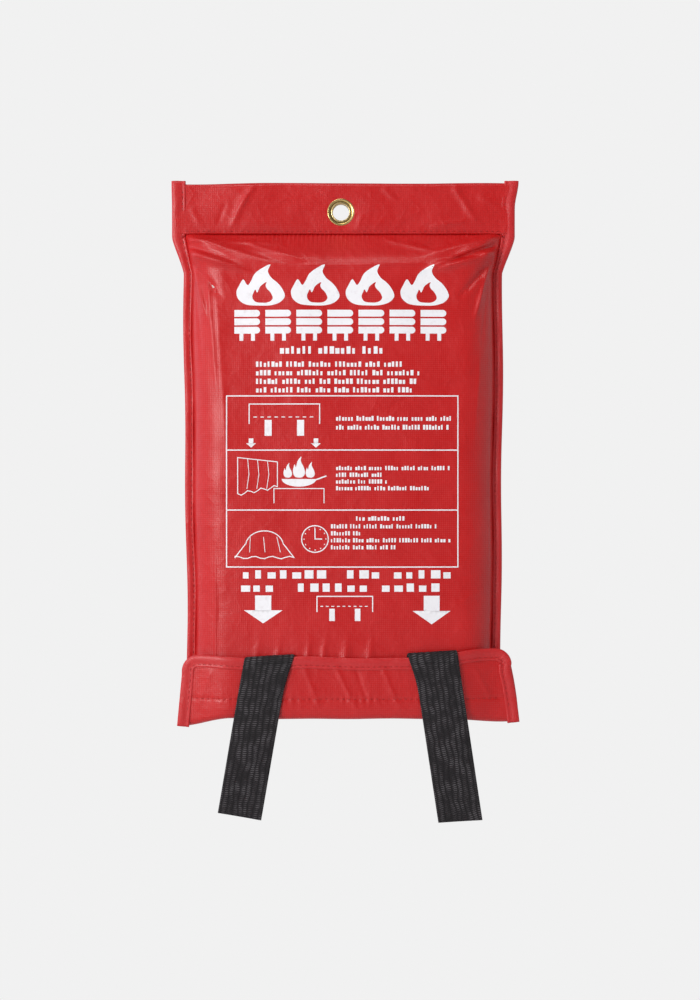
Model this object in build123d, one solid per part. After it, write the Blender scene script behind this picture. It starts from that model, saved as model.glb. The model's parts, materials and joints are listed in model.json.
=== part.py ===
from build123d import *
import math
import os

# A fire blanket in a soft hanging pouch with two pull tapes. Millimetres.
# X runs to the viewer's right and Z up. The wall is the plane y = 0 and the pouch is on its -Y side.
# "depth" is the distance in front of the wall, so y = -depth. "height" is z.
# The origin is on the axis of the eyelet's hole, in the wall plane.

# Materials' thicknesses
CLOTH = 0.7            # coated cloth of the pouch
LEAF = 0.6             # one leaf of the binding tape
PRESSED = 0.35         # a leaf pressed flush into the back panel, so that the back stays flat
WEBBING = 1.2          # pull tape
PILE = 1.2             # hook strip or loop strip, each with its pile
INK = 0.1              # screen print
THREAD = 0.3           # how far a stitch stands out
CLEAR = 0.4            # running gap between layers that slide over each other
TURNED = 0.05          # play between the header and the bindings folded round it
PAST = 1.0             # how far a cutting outline runs past the piece

# Pouch
HEADER_TOP = 16.2      # fold of the header, above the eyelet
HEADER_SEAM = -12.5    # lower edge of the header
HEADER_HALF = 99.5     # half width of the flat header
BODY_HALF = 91.5       # half width of the body, drawn in by the bulge
WAIST_TOP = -16.0      # where the sides start to draw in
WAIST_END = -42.0      # where the body has its full bulge
FOLD_HEIGHT = -291.0   # bottom fold, where the flap turns forward
MOUTH_GAP = 4.5        # height of the front panel's edge above the fold
SEAM_STEP = 0.3        # play between the front panel and the side bindings
RAMP = 8.7             # width of the bulge's sloping side
RAMP_TOP = 24.0        # the same at the header, where the slope is shallow
RAMP_PULL = 0.55       # length of the slope's handles, as a share of its width
SHOULDER_STEPS = 4     # sections through the shoulder
BINDING = 8.0          # visible width of the binding tape
BINDING_TIP = 18.0     # the side bindings stand above the header

# Blanket
BLANKET_REAR = 1.6
BLANKET_THICK = 14.9
BLANKET_HALF = 73.5
BLANKET_TALL = 236.0
BLANKET_GAP = 12.0     # height of its bottom edge above the fold
REAR_ROUND = 12.0      # radius of the fold at the bottom of its back
EDGE_ROUND = 3.0

# Closing flap
FLAP_TALL = 36.0
FLAP_HALF_TOP = 95.0
FLAP_HALF_FOLD = 97.0
FLAP_CORNER = 10.0
HINGE_GAP = 0.9        # from a fold line to the edge of each leaf that turns about it
STRIP_LOW = 11.0       # hook and loop strips, above the fold
STRIP_HIGH = 27.0
STRIP_GAP = 1.5        # between a strip and a tape

# Pull tapes
TAPE_WIDE = 25.0
TAPE_SPLAY = math.radians(9.5)
TAPE_RISE = 2.0        # fold at the foot of a tape, above the bottom fold
TAPE_OVER = 1.6        # fold over the flap's top edge, above that edge
TAPE_UPPER = 12.0      # length between that fold and the free tail
TAPE_ROOT = 45.0       # length sewn to the blanket
LEFT_FOLD_X = -41.5
RIGHT_FOLD_X = 52.9
LEFT_END = -346.3
RIGHT_END = -349.0

# Eyelet
EYELET_BORE = 4.8
EYELET_WALL = 0.5
EYELET_RIM = 8.1
EYELET_PLAY = 0.1      # between the barrel and the hole in the cloth
WASHER_RIM = 8.4
WASHER_THICK = 0.6
RIM_HIGH = 1.1
CURL = 0.5             # the barrel's rear end, clinched over the washer

# Stitching
STITCH_LONG = 2.6
STITCH_WIDE = 0.5
STITCH_PITCH = 5.0
STITCH_INSET = 1.8     # from the edge of the sewn piece to the row
ROW_END = 3.0          # from a side binding's end to its last stitch
FLAP_ROW_LOW = 5.0     # lowest stitch on the flap's ends, above the fold
CORNER_CLEAR = 2.0     # from a rounded corner of the flap to the nearest stitch
HEM_RISE = 12.0        # the blanket's hem row, above its bottom edge
TACK_RISES = (6.0, 12.0, 24.0, 30.0)  # rows through a tape's root, above the same edge
TACK_INSET = 4.0       # from a tape's edge to the end of those rows

# Depths, from the wall outwards
BLANKET_FRONT = BLANKET_REAR + BLANKET_THICK
PANEL_REAR = BLANKET_FRONT + WEBBING + THREAD + CLEAR
PANEL_FRONT = PANEL_REAR + CLOTH
TAPE_INSIDE = PANEL_FRONT + CLEAR + WEBBING / 2
FLAP_REAR = TAPE_INSIDE + WEBBING / 2 + CLEAR + LEAF
FLAP_FRONT = FLAP_REAR + CLOTH
TAPE_OUTSIDE = FLAP_FRONT + LEAF + CLEAR + WEBBING / 2
HEADER_FRONT = 3 * CLOTH
CAVITY_FRONT = HEADER_FRONT + TURNED

# Fold lines, all parallel to X
BACK_FOLD_DEPTH = CLOTH / 2
FRONT_FOLD_DEPTH = (FLAP_REAR + FLAP_FRONT) / 2
MOUTH = FOLD_HEIGHT + MOUTH_GAP
FLAP_TOP = FOLD_HEIGHT + FLAP_TALL
TAPE_FOOT = FOLD_HEIGHT + TAPE_RISE
TAPE_FOLD = FLAP_TOP + TAPE_OVER
TAIL_TOP = TAPE_FOLD - TAPE_UPPER
BLANKET_LOW = FOLD_HEIGHT + BLANKET_GAP
TAPE_SPAN = TAPE_WIDE / math.cos(TAPE_SPLAY)

SIDE_VIEW = Plane(origin=(0, 0, 0), x_dir=(0, -1, 0), z_dir=(-1, 0, 0))
FORWARD = (0, -1, 0)
UP = (0, 0, 1)


def slab(outline, rear, front):
    """Solid between two depths, from an outline drawn with x to the right and height up."""
    return extrude(Plane.XZ.offset(rear) * outline, amount=front - rear, dir=FORWARD)


def sheet(left, right, low, high, rear, front):
    """Flat rectangular piece between two depths."""
    centre = Pos((left + right) / 2, (low + high) / 2)
    return slab(centre * Rectangle(right - left, high - low), rear, front)


def smooth_step(share):
    """0 to 1 with level ends."""
    return share * share * (3 - 2 * share)


def half_width(height):
    """Half width of the pouch: the flat header, the waist below it, then the straight body."""
    share = (WAIST_TOP - height) / (WAIST_TOP - WAIST_END)
    share = min(1.0, max(0.0, share))
    return HEADER_HALF + (BODY_HALF - HEADER_HALF) * smooth_step(share)


def waist_curve(side, inset):
    """The drawn-in stretch of one side: a cubic whose ends run straight down."""
    third = (WAIST_TOP - WAIST_END) / 3
    wide = side * (HEADER_HALF - inset)
    narrow = side * (BODY_HALF - inset)
    return Bezier(
        (wide, WAIST_TOP),
        (wide, WAIST_TOP - third),
        (narrow, WAIST_END + third),
        (narrow, WAIST_END),
    )


def pouch_outline(inset, low, high):
    """Outline of the pouch, with both sides moved in by inset."""
    wide = HEADER_HALF - inset
    narrow = BODY_HALF - inset
    edges = [
        Line((-wide, high), (wide, high)),
        Line((wide, high), (wide, WAIST_TOP)),
        waist_curve(1, inset),
        Line((narrow, WAIST_END), (narrow, low)),
        Line((narrow, low), (-narrow, low)),
        Line((-narrow, low), (-narrow, WAIST_END)),
        waist_curve(-1, inset),
        Line((-wide, WAIST_TOP), (-wide, high)),
    ]
    return make_face(Wire(edges))


def eyelet_hole(piece):
    """Cuts the hole that the eyelet's barrel passes through."""
    hole = Circle(EYELET_BORE + EYELET_WALL + EYELET_PLAY)
    return piece - slab(hole, -CLOTH, HEADER_FRONT + CLOTH)


def back_panel():
    """Flat sheet. Its margins are half as thick behind, where the binding and header cloth lie."""
    low = FOLD_HEIGHT + HINGE_GAP
    high = HEADER_TOP - CLOTH
    panel = slab(pouch_outline(0, low, high), 0, CLOTH)
    outer = pouch_outline(0, low - PAST, high + PAST)
    margin = outer - pouch_outline(BINDING, low - 2 * PAST, high + 2 * PAST)
    panel -= slab(margin, -PRESSED, PRESSED)
    panel -= sheet(-HEADER_HALF, HEADER_HALF, HEADER_SEAM, HEADER_TOP, -PRESSED, PRESSED)
    return eyelet_hole(panel)


def bulge_half(side, foot, top, depth, rise):
    """The S-shaped slope on one side of a bulge section, from its foot to its top."""
    pull = RAMP_PULL * (foot - top)
    return Bezier(
        (side * foot, -depth),
        (side * (foot - pull), -depth),
        (side * (top + pull), -(depth + rise)),
        (side * top, -(depth + rise)),
    )


def panel_section(height, rise, ramp):
    """Section of the front panel at one height, rise is how far it stands in front of its margin."""
    edge = half_width(height) - SEAM_STEP
    foot = edge - BINDING
    top = foot - ramp
    inner = CLOTH
    outer = 2 * CLOTH
    # The inner face's slope starts further in, so that the sheet keeps its thickness.
    slip = 0.8 * CLOTH * rise / (rise + ramp)
    edges = [
        Line((-edge, -outer), (-foot, -outer)),
        bulge_half(-1, foot, top, outer, rise),
        Line((-top, -outer - rise), (top, -outer - rise)),
        bulge_half(1, foot, top, outer, rise),
        Line((foot, -outer), (edge, -outer)),
        Line((edge, -outer), (edge, -inner)),
        Line((edge, -inner), (foot - slip, -inner)),
        bulge_half(1, foot - slip, top - slip, inner, rise),
        Line((top - slip, -inner - rise), (slip - top, -inner - rise)),
        bulge_half(-1, foot - slip, top - slip, inner, rise),
        Line((slip - foot, -inner), (-edge, -inner)),
        Line((-edge, -inner), (-edge, -outer)),
    ]
    return Pos(0, 0, height) * make_face(Wire(edges))


def front_panel():
    """Sheet that bulges over the blanket: flat in the header, swelling through the waist."""
    full_rise = PANEL_FRONT - 2 * CLOTH
    sections = []
    for step in range(SHOULDER_STEPS + 1):
        share = step / SHOULDER_STEPS
        height = HEADER_SEAM + (WAIST_END - HEADER_SEAM) * share
        ramp = RAMP_TOP + (RAMP - RAMP_TOP) * share
        sections.append(panel_section(height, full_rise * smooth_step(share), ramp))
    shoulder = loft(sections)
    body = extrude(panel_section(WAIST_END, full_rise, RAMP), amount=WAIST_END - MOUTH, dir=(0, 0, -1))
    header = sheet(-HEADER_HALF, HEADER_HALF, HEADER_SEAM, HEADER_TOP - CLOTH, CLOTH, 2 * CLOTH)
    return eyelet_hole(header + shoulder + body)


def header_band():
    """Cloth band folded over the top: its front leaf covers the header, its rear leaf is pressed flush."""
    inner_half = HEADER_HALF - BINDING
    front = sheet(-HEADER_HALF, HEADER_HALF, HEADER_SEAM, HEADER_TOP - CLOTH, 2 * CLOTH, HEADER_FRONT)
    bend = sheet(-inner_half, inner_half, HEADER_TOP - CLOTH, HEADER_TOP, 0, HEADER_FRONT)
    rear = sheet(-inner_half, inner_half, HEADER_SEAM, HEADER_TOP - CLOTH, 0, PRESSED)
    front_edge = bend.edges().filter_by(Axis.X).group_by(Axis.Z)[-1].sort_by(Axis.Y)[0]
    return eyelet_hole(front + fillet(front_edge, CLOTH * 0.9) + rear)


def side_binding(side):
    """Tape folded round one side of the pouch, from above the header down to the mouth."""
    outer = pouch_outline(-LEAF, MOUTH, BINDING_TIP)
    inner = pouch_outline(BINDING, MOUTH - PAST, BINDING_TIP + PAST)
    both = slab(outer - inner, 0, CAVITY_FRONT + LEAF)
    both -= slab(pouch_outline(0, MOUTH - PAST, BINDING_TIP + PAST), PRESSED, CAVITY_FRONT)
    return both.solids().sort_by(Axis.X)[-1 if side > 0 else 0]


def eyelet():
    """Brass barrel with a rounded rim in front, its rear end clinched over the washer."""
    rear = -WASHER_THICK - CURL
    outer = EYELET_BORE + EYELET_WALL
    rim_mid = (EYELET_BORE + EYELET_RIM) / 2
    crown = HEADER_FRONT + RIM_HIGH
    profile = make_face(
        Wire(
            [
                Line((EYELET_BORE, rear), (EYELET_BORE, HEADER_FRONT + RIM_HIGH / 2)),
                Spline(
                    (EYELET_BORE, HEADER_FRONT + RIM_HIGH / 2),
                    (rim_mid, crown),
                    (EYELET_RIM, HEADER_FRONT),
                    tangents=[(0, 1), (0, -1)],
                ),
                Line((EYELET_RIM, HEADER_FRONT), (outer, HEADER_FRONT)),
                Line((outer, HEADER_FRONT), (outer, -WASHER_THICK)),
                Line((outer, -WASHER_THICK), (outer + CURL, -WASHER_THICK)),
                RadiusArc((outer + CURL, -WASHER_THICK), (outer, rear), CURL),
                Line((outer, rear), (EYELET_BORE, rear)),
            ]
        )
    )
    forward = Plane(origin=(0, 0, 0), x_dir=(1, 0, 0), z_dir=UP)
    return Rot(180, 0, 0) * revolve(forward * profile, axis=Axis.Y)


def eyelet_washer():
    """Brass ring behind the header, with a rounded outer edge."""
    inner = EYELET_BORE + EYELET_WALL
    ring = slab(Circle(WASHER_RIM) - Circle(inner), -WASHER_THICK, 0)
    rim = ring.edges().filter_by(GeomType.CIRCLE).sort_by(SortBy.RADIUS)[-2:].sort_by(Axis.Y)[-1]
    return fillet(rim, WASHER_THICK * 0.8)


def tape_x(fold_x, drop):
    """Centre of a tape at a distance along it below its top fold. The tapes splay outwards."""
    outward = math.copysign(1, fold_x)
    return fold_x + outward * drop * math.tan(TAPE_SPLAY)


def strip_spans():
    """The x spans of the hook and loop strips, which leave the two tapes free."""
    reach = TAPE_SPAN / 2 + STRIP_GAP
    low_drop = STRIP_LOW - TAPE_RISE - FLAP_TALL - TAPE_OVER
    left_inner = tape_x(LEFT_FOLD_X, low_drop) + reach
    right_inner = tape_x(RIGHT_FOLD_X, low_drop) - reach
    left_outer = LEFT_FOLD_X - reach
    right_outer = RIGHT_FOLD_X + reach
    end = BODY_HALF - BINDING - SEAM_STEP - RAMP
    return [(-end, left_outer), (left_inner, right_inner), (right_outer, end)]


def strips(rear, front):
    """Strip pieces between and beside the tapes."""
    low = FOLD_HEIGHT + STRIP_LOW
    high = FOLD_HEIGHT + STRIP_HIGH
    return [sheet(left, right, low, high, rear, front) for left, right in strip_spans()]


def flap_outline(inset, low):
    """Outline of the closing flap, wider at the fold, with rounded upper corners."""
    top = FLAP_TOP - LEAF - inset
    wide = FLAP_HALF_FOLD - inset
    narrow = FLAP_HALF_TOP - inset
    corners = [(-wide, low), (wide, low), (narrow, top), (-narrow, top)]
    face = make_face(Polyline(*corners, close=True))
    upper = face.vertices().group_by(Axis.Y)[-1]
    return fillet(upper, max(1.0, FLAP_CORNER - inset))


def closing_flap():
    """Upright leaf of the flap."""
    return slab(flap_outline(0, FOLD_HEIGHT + HINGE_GAP), FLAP_REAR, FLAP_FRONT)


def flap_base():
    """Level leaf of the flap, under the blanket."""
    rear = BACK_FOLD_DEPTH + HINGE_GAP
    front = FRONT_FOLD_DEPTH - HINGE_GAP
    half = CLOTH / 2
    return sheet(-FLAP_HALF_FOLD, FLAP_HALF_FOLD, FOLD_HEIGHT - half, FOLD_HEIGHT + half, rear, front)


def flap_binding():
    """Tape folded round the flap's ends and top edge."""
    low = FOLD_HEIGHT + HINGE_GAP
    band = flap_outline(-LEAF, low) - flap_outline(BINDING, low - PAST)
    return slab(band, FLAP_REAR - LEAF, FLAP_FRONT + LEAF) - closing_flap()


def blanket():
    """Folded glass-cloth blanket. Its lower back edge is a round fold."""
    high = BLANKET_LOW + BLANKET_TALL
    rear_start = (BLANKET_REAR, BLANKET_LOW + REAR_ROUND)
    rear_end = (BLANKET_REAR + REAR_ROUND, BLANKET_LOW)
    front_corners = [
        (BLANKET_FRONT - EDGE_ROUND / 2, BLANKET_LOW),
        (BLANKET_FRONT, BLANKET_LOW + EDGE_ROUND),
        (BLANKET_FRONT, high - 2 * EDGE_ROUND),
        (BLANKET_FRONT - 2 * EDGE_ROUND, high),
    ]
    fold = RadiusArc(rear_start, rear_end, REAR_ROUND)
    outside = Polyline(rear_end, *front_corners, (BLANKET_REAR, high), rear_start)
    profile = make_face(Wire([fold, *outside.edges()]))
    return extrude(SIDE_VIEW * profile, amount=BLANKET_HALF, both=True)


def tape_length(fold_x, top, bottom, depth):
    """Flat stretch of tape between two (height, distance along the tape) ends, at one depth."""
    half = TAPE_SPAN / 2
    high, high_drop = top
    low, low_drop = bottom
    high_x = tape_x(fold_x, high_drop)
    low_x = tape_x(fold_x, low_drop)
    corners = [(low_x - half, low), (low_x + half, low), (high_x + half, high), (high_x - half, high)]
    outline = make_face(Polyline(*corners, close=True))
    return slab(outline, depth - WEBBING / 2, depth + WEBBING / 2)


def tape_root(fold_x):
    """Length sewn to the blanket's front, with a short turn forward under the front panel's edge."""
    foot_drop = TAPE_FOOT - TAPE_FOLD
    depth = BLANKET_FRONT + WEBBING / 2
    top = (TAPE_FOOT + TAPE_ROOT, foot_drop - TAPE_ROOT)
    foot = (TAPE_FOOT - WEBBING / 2, foot_drop)
    centre = tape_x(fold_x, foot_drop)
    half = TAPE_SPAN / 2
    low = TAPE_FOOT - WEBBING / 2
    high = TAPE_FOOT + WEBBING / 2
    turn = sheet(centre - half, centre + half, low, high, BLANKET_FRONT, TAPE_INSIDE - HINGE_GAP)
    return tape_length(fold_x, top, foot, depth) + turn


def tape_inner(fold_x):
    """Length between the front panel and the flap."""
    top = (TAPE_FOLD - HINGE_GAP, -HINGE_GAP)
    foot = (TAPE_FOOT + HINGE_GAP, TAPE_FOOT + HINGE_GAP - TAPE_FOLD)
    return tape_length(fold_x, top, foot, TAPE_INSIDE)


def tape_bridge(fold_x):
    """Short length over the flap's top edge."""
    half = TAPE_SPAN / 2
    low = TAPE_FOLD - WEBBING / 2
    high = TAPE_FOLD + WEBBING / 2
    return sheet(fold_x - half, fold_x + half, low, high, TAPE_INSIDE + HINGE_GAP, TAPE_OUTSIDE - HINGE_GAP)


def tape_upper(fold_x):
    """Length that lies on the flap's front, below its top edge."""
    top = (TAPE_FOLD - HINGE_GAP, HINGE_GAP)
    low = (TAIL_TOP + HINGE_GAP, TAPE_UPPER - HINGE_GAP)
    return tape_length(fold_x, top, low, TAPE_OUTSIDE)


def tape_tail(fold_x, end):
    """Free hanging length that a hand pulls."""
    top = (TAIL_TOP - HINGE_GAP, TAPE_UPPER + HINGE_GAP)
    return tape_length(fold_x, top, (end, TAPE_FOLD - end), TAPE_OUTSIDE)


def stitch(x, height, depth, along):
    """One stitch lying on a face at a depth. along is its direction, in degrees from level."""
    bar = Rot(0, 0, along) * Rectangle(STITCH_LONG, STITCH_WIDE)
    return slab(Pos(x, height) * bar, depth, depth + THREAD)


def row_places(start, end):
    """Evenly spaced places from start to end, about one stitch pitch apart."""
    count = round(abs(end - start) / STITCH_PITCH)
    return [start + (end - start) * step / count for step in range(count + 1)]


def stitch_row(left, right, height, depth):
    """Level row of stitches."""
    return [stitch(x, height, depth, 0) for x in row_places(left, right)]


def stitch_column(x, low, high, depth):
    """Upright row of stitches."""
    return [stitch(x, height, depth, 90) for height in row_places(low, high)]


def header_stitching():
    """Row that joins the header band to the panels."""
    reach = HEADER_HALF - BINDING - STITCH_LONG
    return stitch_row(-reach, reach, HEADER_SEAM + STITCH_INSET, HEADER_FRONT)


def side_binding_stitching(side):
    """Row along one side binding, following the waist."""
    stitches = []
    for height in row_places(MOUTH + ROW_END, BINDING_TIP - ROW_END):
        x = side * (half_width(height) - BINDING + STITCH_INSET)
        stitches.append(stitch(x, height, CAVITY_FRONT + LEAF, 90))
    return stitches


def flap_binding_stitching():
    """Rows along the flap's two ends and its top edge, stopping short of the rounded corners."""
    face = FLAP_FRONT + LEAF
    inset = BINDING - STITCH_INSET
    low = FOLD_HEIGHT + FLAP_ROW_LOW
    high = FLAP_TOP - FLAP_CORNER - CORNER_CLEAR
    stitches = []
    for side in (-1, 1):
        stitches += stitch_column(side * (FLAP_HALF_TOP - inset), low, high, face)
    reach = FLAP_HALF_TOP - FLAP_CORNER - CORNER_CLEAR
    return stitches + stitch_row(-reach, reach, FLAP_TOP - LEAF - inset, face)


def hook_strip_stitching():
    """Row across the flap that holds the hook strip's lower edge."""
    reach = FLAP_HALF_TOP - BINDING - STITCH_LONG
    return stitch_row(-reach, reach, FOLD_HEIGHT + STRIP_LOW + STITCH_INSET, FLAP_FRONT)


def blanket_hem_stitching():
    """Row across the blanket's outermost layer, between and beside the tapes."""
    height = BLANKET_LOW + HEM_RISE
    reach = TAPE_SPAN / 2 + STITCH_LONG
    drop = TAPE_FOOT - TAPE_FOLD - TAPE_ROOT / 2
    tapes = [tape_x(x, drop) for x in (LEFT_FOLD_X, RIGHT_FOLD_X)]
    end = BLANKET_HALF - STITCH_LONG
    places = [x for x in row_places(-end, end) if all(abs(x - t) > reach for t in tapes)]
    return [stitch(x, height, BLANKET_FRONT, 0) for x in places]


def tape_bartack(fold_x):
    """Four rows of stitches that hold a tape's root to the blanket."""
    foot_drop = TAPE_FOOT - TAPE_FOLD
    face = BLANKET_FRONT + WEBBING
    reach = TAPE_WIDE / 2 - TACK_INSET
    stitches = []
    for rise in TACK_RISES:
        height = BLANKET_LOW + rise
        centre = tape_x(fold_x, foot_drop - (height - TAPE_FOOT))
        stitches += stitch_row(centre - reach, centre + reach, height, face)
    return stitches


# Printed graphics: a frame with two dividers, lines of bars in place of writing, and arrows
PRINT_LEFT = -60.5
PRINT_RIGHT = 66.5
PRINT_MIDDLE = (PRINT_LEFT + PRINT_RIGHT) / 2
FRAME_TOP = -105.5
FRAME_LOW = -202.5
FRAME_LINE = 0.8
DIVIDERS = (0.32, 0.67)     # share of the frame's height above each divider
WORD_GAP = 1.6
TITLE_INSET = 5.0
TITLES = ((-41, 18, 4), (-64, 16, 7))   # middle, height and number of the large bars
LINE_TOP = -86.0            # four lines of bars under the title
LINE_PITCH = 4.7
LINE_TALL = 2.6
LINE_REACH = 45.0           # from the middle to the lines' ends
RAGGED = 4.0                # by how much every other line is shorter
STEP_TOP = -113.0           # first line of bars in the upper box
STEP_PITCH = 32.0           # from box to box
STEP_LINE = 4.5             # from line to line in a box
STEP_TALL = 2.4
STEP_INSET = 6.0            # from the lines to the frame
BOLD_LINES = (-208.5, -216.0)
BOLD_TALL = 5.0
BOLD_REACH = 55.0
ARROW_TOP = -223.0
ARROW_OUT = 47.0            # from the middle to each arrow
ARROW_WIDE = 21.0
ARROW_TALL = 16.0


def ink(outline):
    """A printed mark on the front panel's flat face."""
    return slab(outline, PANEL_FRONT, PANEL_FRONT + INK)


def ink_bar(left, right, low, high):
    """Printed rectangle."""
    return ink(Pos((left + right) / 2, (low + high) / 2) * Rectangle(right - left, high - low))


def down_arrow(x, top, wide, tall):
    """Arrow that points down, with a shaft two fifths as wide as its head."""
    neck = top - tall / 2
    shaft = wide / 5
    half = wide / 2
    tip = top - tall
    right = [(shaft, top), (shaft, neck), (half, neck), (0, tip)]
    left = [(-across, height) for across, height in reversed(right[:3])]
    corners = [(x + across, height) for across, height in right + left]
    return ink(make_face(Polyline(*corners, close=True)))


def word_bars(left, right, middle, tall, words):
    """A line of bars of uneven lengths with gaps between them, words is their number."""
    weights = [2 + (3 * word) % 5 for word in range(words)]
    room = right - left - WORD_GAP * (words - 1)
    bars = []
    start = left
    for weight in weights:
        wide = room * weight / sum(weights)
        bars.append(ink_bar(start, start + wide, middle - tall / 2, middle + tall / 2))
        start += wide + WORD_GAP
    return bars


def print_frame():
    """Frame of thin lines with two dividers, all one piece."""
    room = FRAME_TOP - FRAME_LOW
    levels = [FRAME_TOP - share * room for share in (0, *DIVIDERS, 1)]
    lines = [ink_bar(PRINT_LEFT, PRINT_RIGHT, level - FRAME_LINE, level) for level in levels]
    for left in (PRINT_LEFT, PRINT_RIGHT - FRAME_LINE):
        lines.append(ink_bar(left, left + FRAME_LINE, FRAME_LOW, FRAME_TOP))
    frame = lines[0]
    for line in lines[1:]:
        frame += line
    return frame


def title_bars():
    """Two rows of large bars and four lines of small ones."""
    bars = []
    for middle, tall, words in TITLES:
        bars += word_bars(PRINT_LEFT + TITLE_INSET, PRINT_RIGHT - TITLE_INSET, middle, tall, words)
    for line in range(4):
        right = PRINT_MIDDLE + LINE_REACH - RAGGED * ((line + 1) % 2)
        bars += word_bars(PRINT_MIDDLE - LINE_REACH, right, LINE_TOP - LINE_PITCH * line, LINE_TALL, 6)
    return bars


def step_bars():
    """Three lines of bars at the right of each box in the frame."""
    bars = []
    for box in range(3):
        for line in range(3):
            middle = STEP_TOP - STEP_PITCH * box - STEP_LINE * line
            right = PRINT_RIGHT - STEP_INSET - STEP_LINE * line
            bars += word_bars(PRINT_MIDDLE + WORD_GAP, right, middle, STEP_TALL, 4)
    return bars


def release_marks():
    """Two bold lines, with an arrow towards each tape under them."""
    marks = []
    for middle in BOLD_LINES:
        marks += word_bars(PRINT_MIDDLE - BOLD_REACH, PRINT_MIDDLE + BOLD_REACH, middle, BOLD_TALL, 4)
    for side in (-1, 1):
        marks.append(down_arrow(PRINT_MIDDLE + side * ARROW_OUT, ARROW_TOP, ARROW_WIDE, ARROW_TALL))
    return marks


def printed_graphics():
    """All printed marks, none of them lettering."""
    return [print_frame()] + title_bars() + step_bars() + release_marks()


NODES = {
    "back_panel": [back_panel()],
    "front_panel": [front_panel()],
    "header_band": [header_band()],
    "side_binding_left": [side_binding(-1)],
    "side_binding_right": [side_binding(1)],
    "eyelet": [eyelet()],
    "eyelet_washer": [eyelet_washer()],
    "loop_strip": strips(PANEL_FRONT, PANEL_FRONT + PILE),
    "header_stitching": header_stitching(),
    "side_binding_stitching_left": side_binding_stitching(-1),
    "side_binding_stitching_right": side_binding_stitching(1),
    "printed_graphics": printed_graphics(),
    "flap_base": [flap_base()],
    "closing_flap": [closing_flap()],
    "flap_binding": [flap_binding()],
    "hook_strip": strips(FLAP_REAR - PILE, FLAP_REAR),
    "flap_binding_stitching": flap_binding_stitching(),
    "hook_strip_stitching": hook_strip_stitching(),
    "blanket": [blanket()],
    "blanket_hem_stitching": blanket_hem_stitching(),
}
for name, fold_x, end in (("left", LEFT_FOLD_X, LEFT_END), ("right", RIGHT_FOLD_X, RIGHT_END)):
    NODES[f"tape_root_{name}"] = [tape_root(fold_x)]
    NODES[f"tape_bartack_{name}"] = tape_bartack(fold_x)
    NODES[f"tape_inner_{name}"] = [tape_inner(fold_x)]
    NODES[f"tape_bridge_{name}"] = [tape_bridge(fold_x)]
    NODES[f"tape_upper_{name}"] = [tape_upper(fold_x)]
    NODES[f"tape_tail_{name}"] = [tape_tail(fold_x, end)]

os.makedirs("parts", exist_ok=True)
for node, pieces in NODES.items():
    solids = [solid for piece in pieces for solid in piece.solids()]
    shape = solids[0] if len(solids) == 1 else Compound(solids)
    export_step(shape, f"parts/{node}.step")
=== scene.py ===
import json
import math

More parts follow.
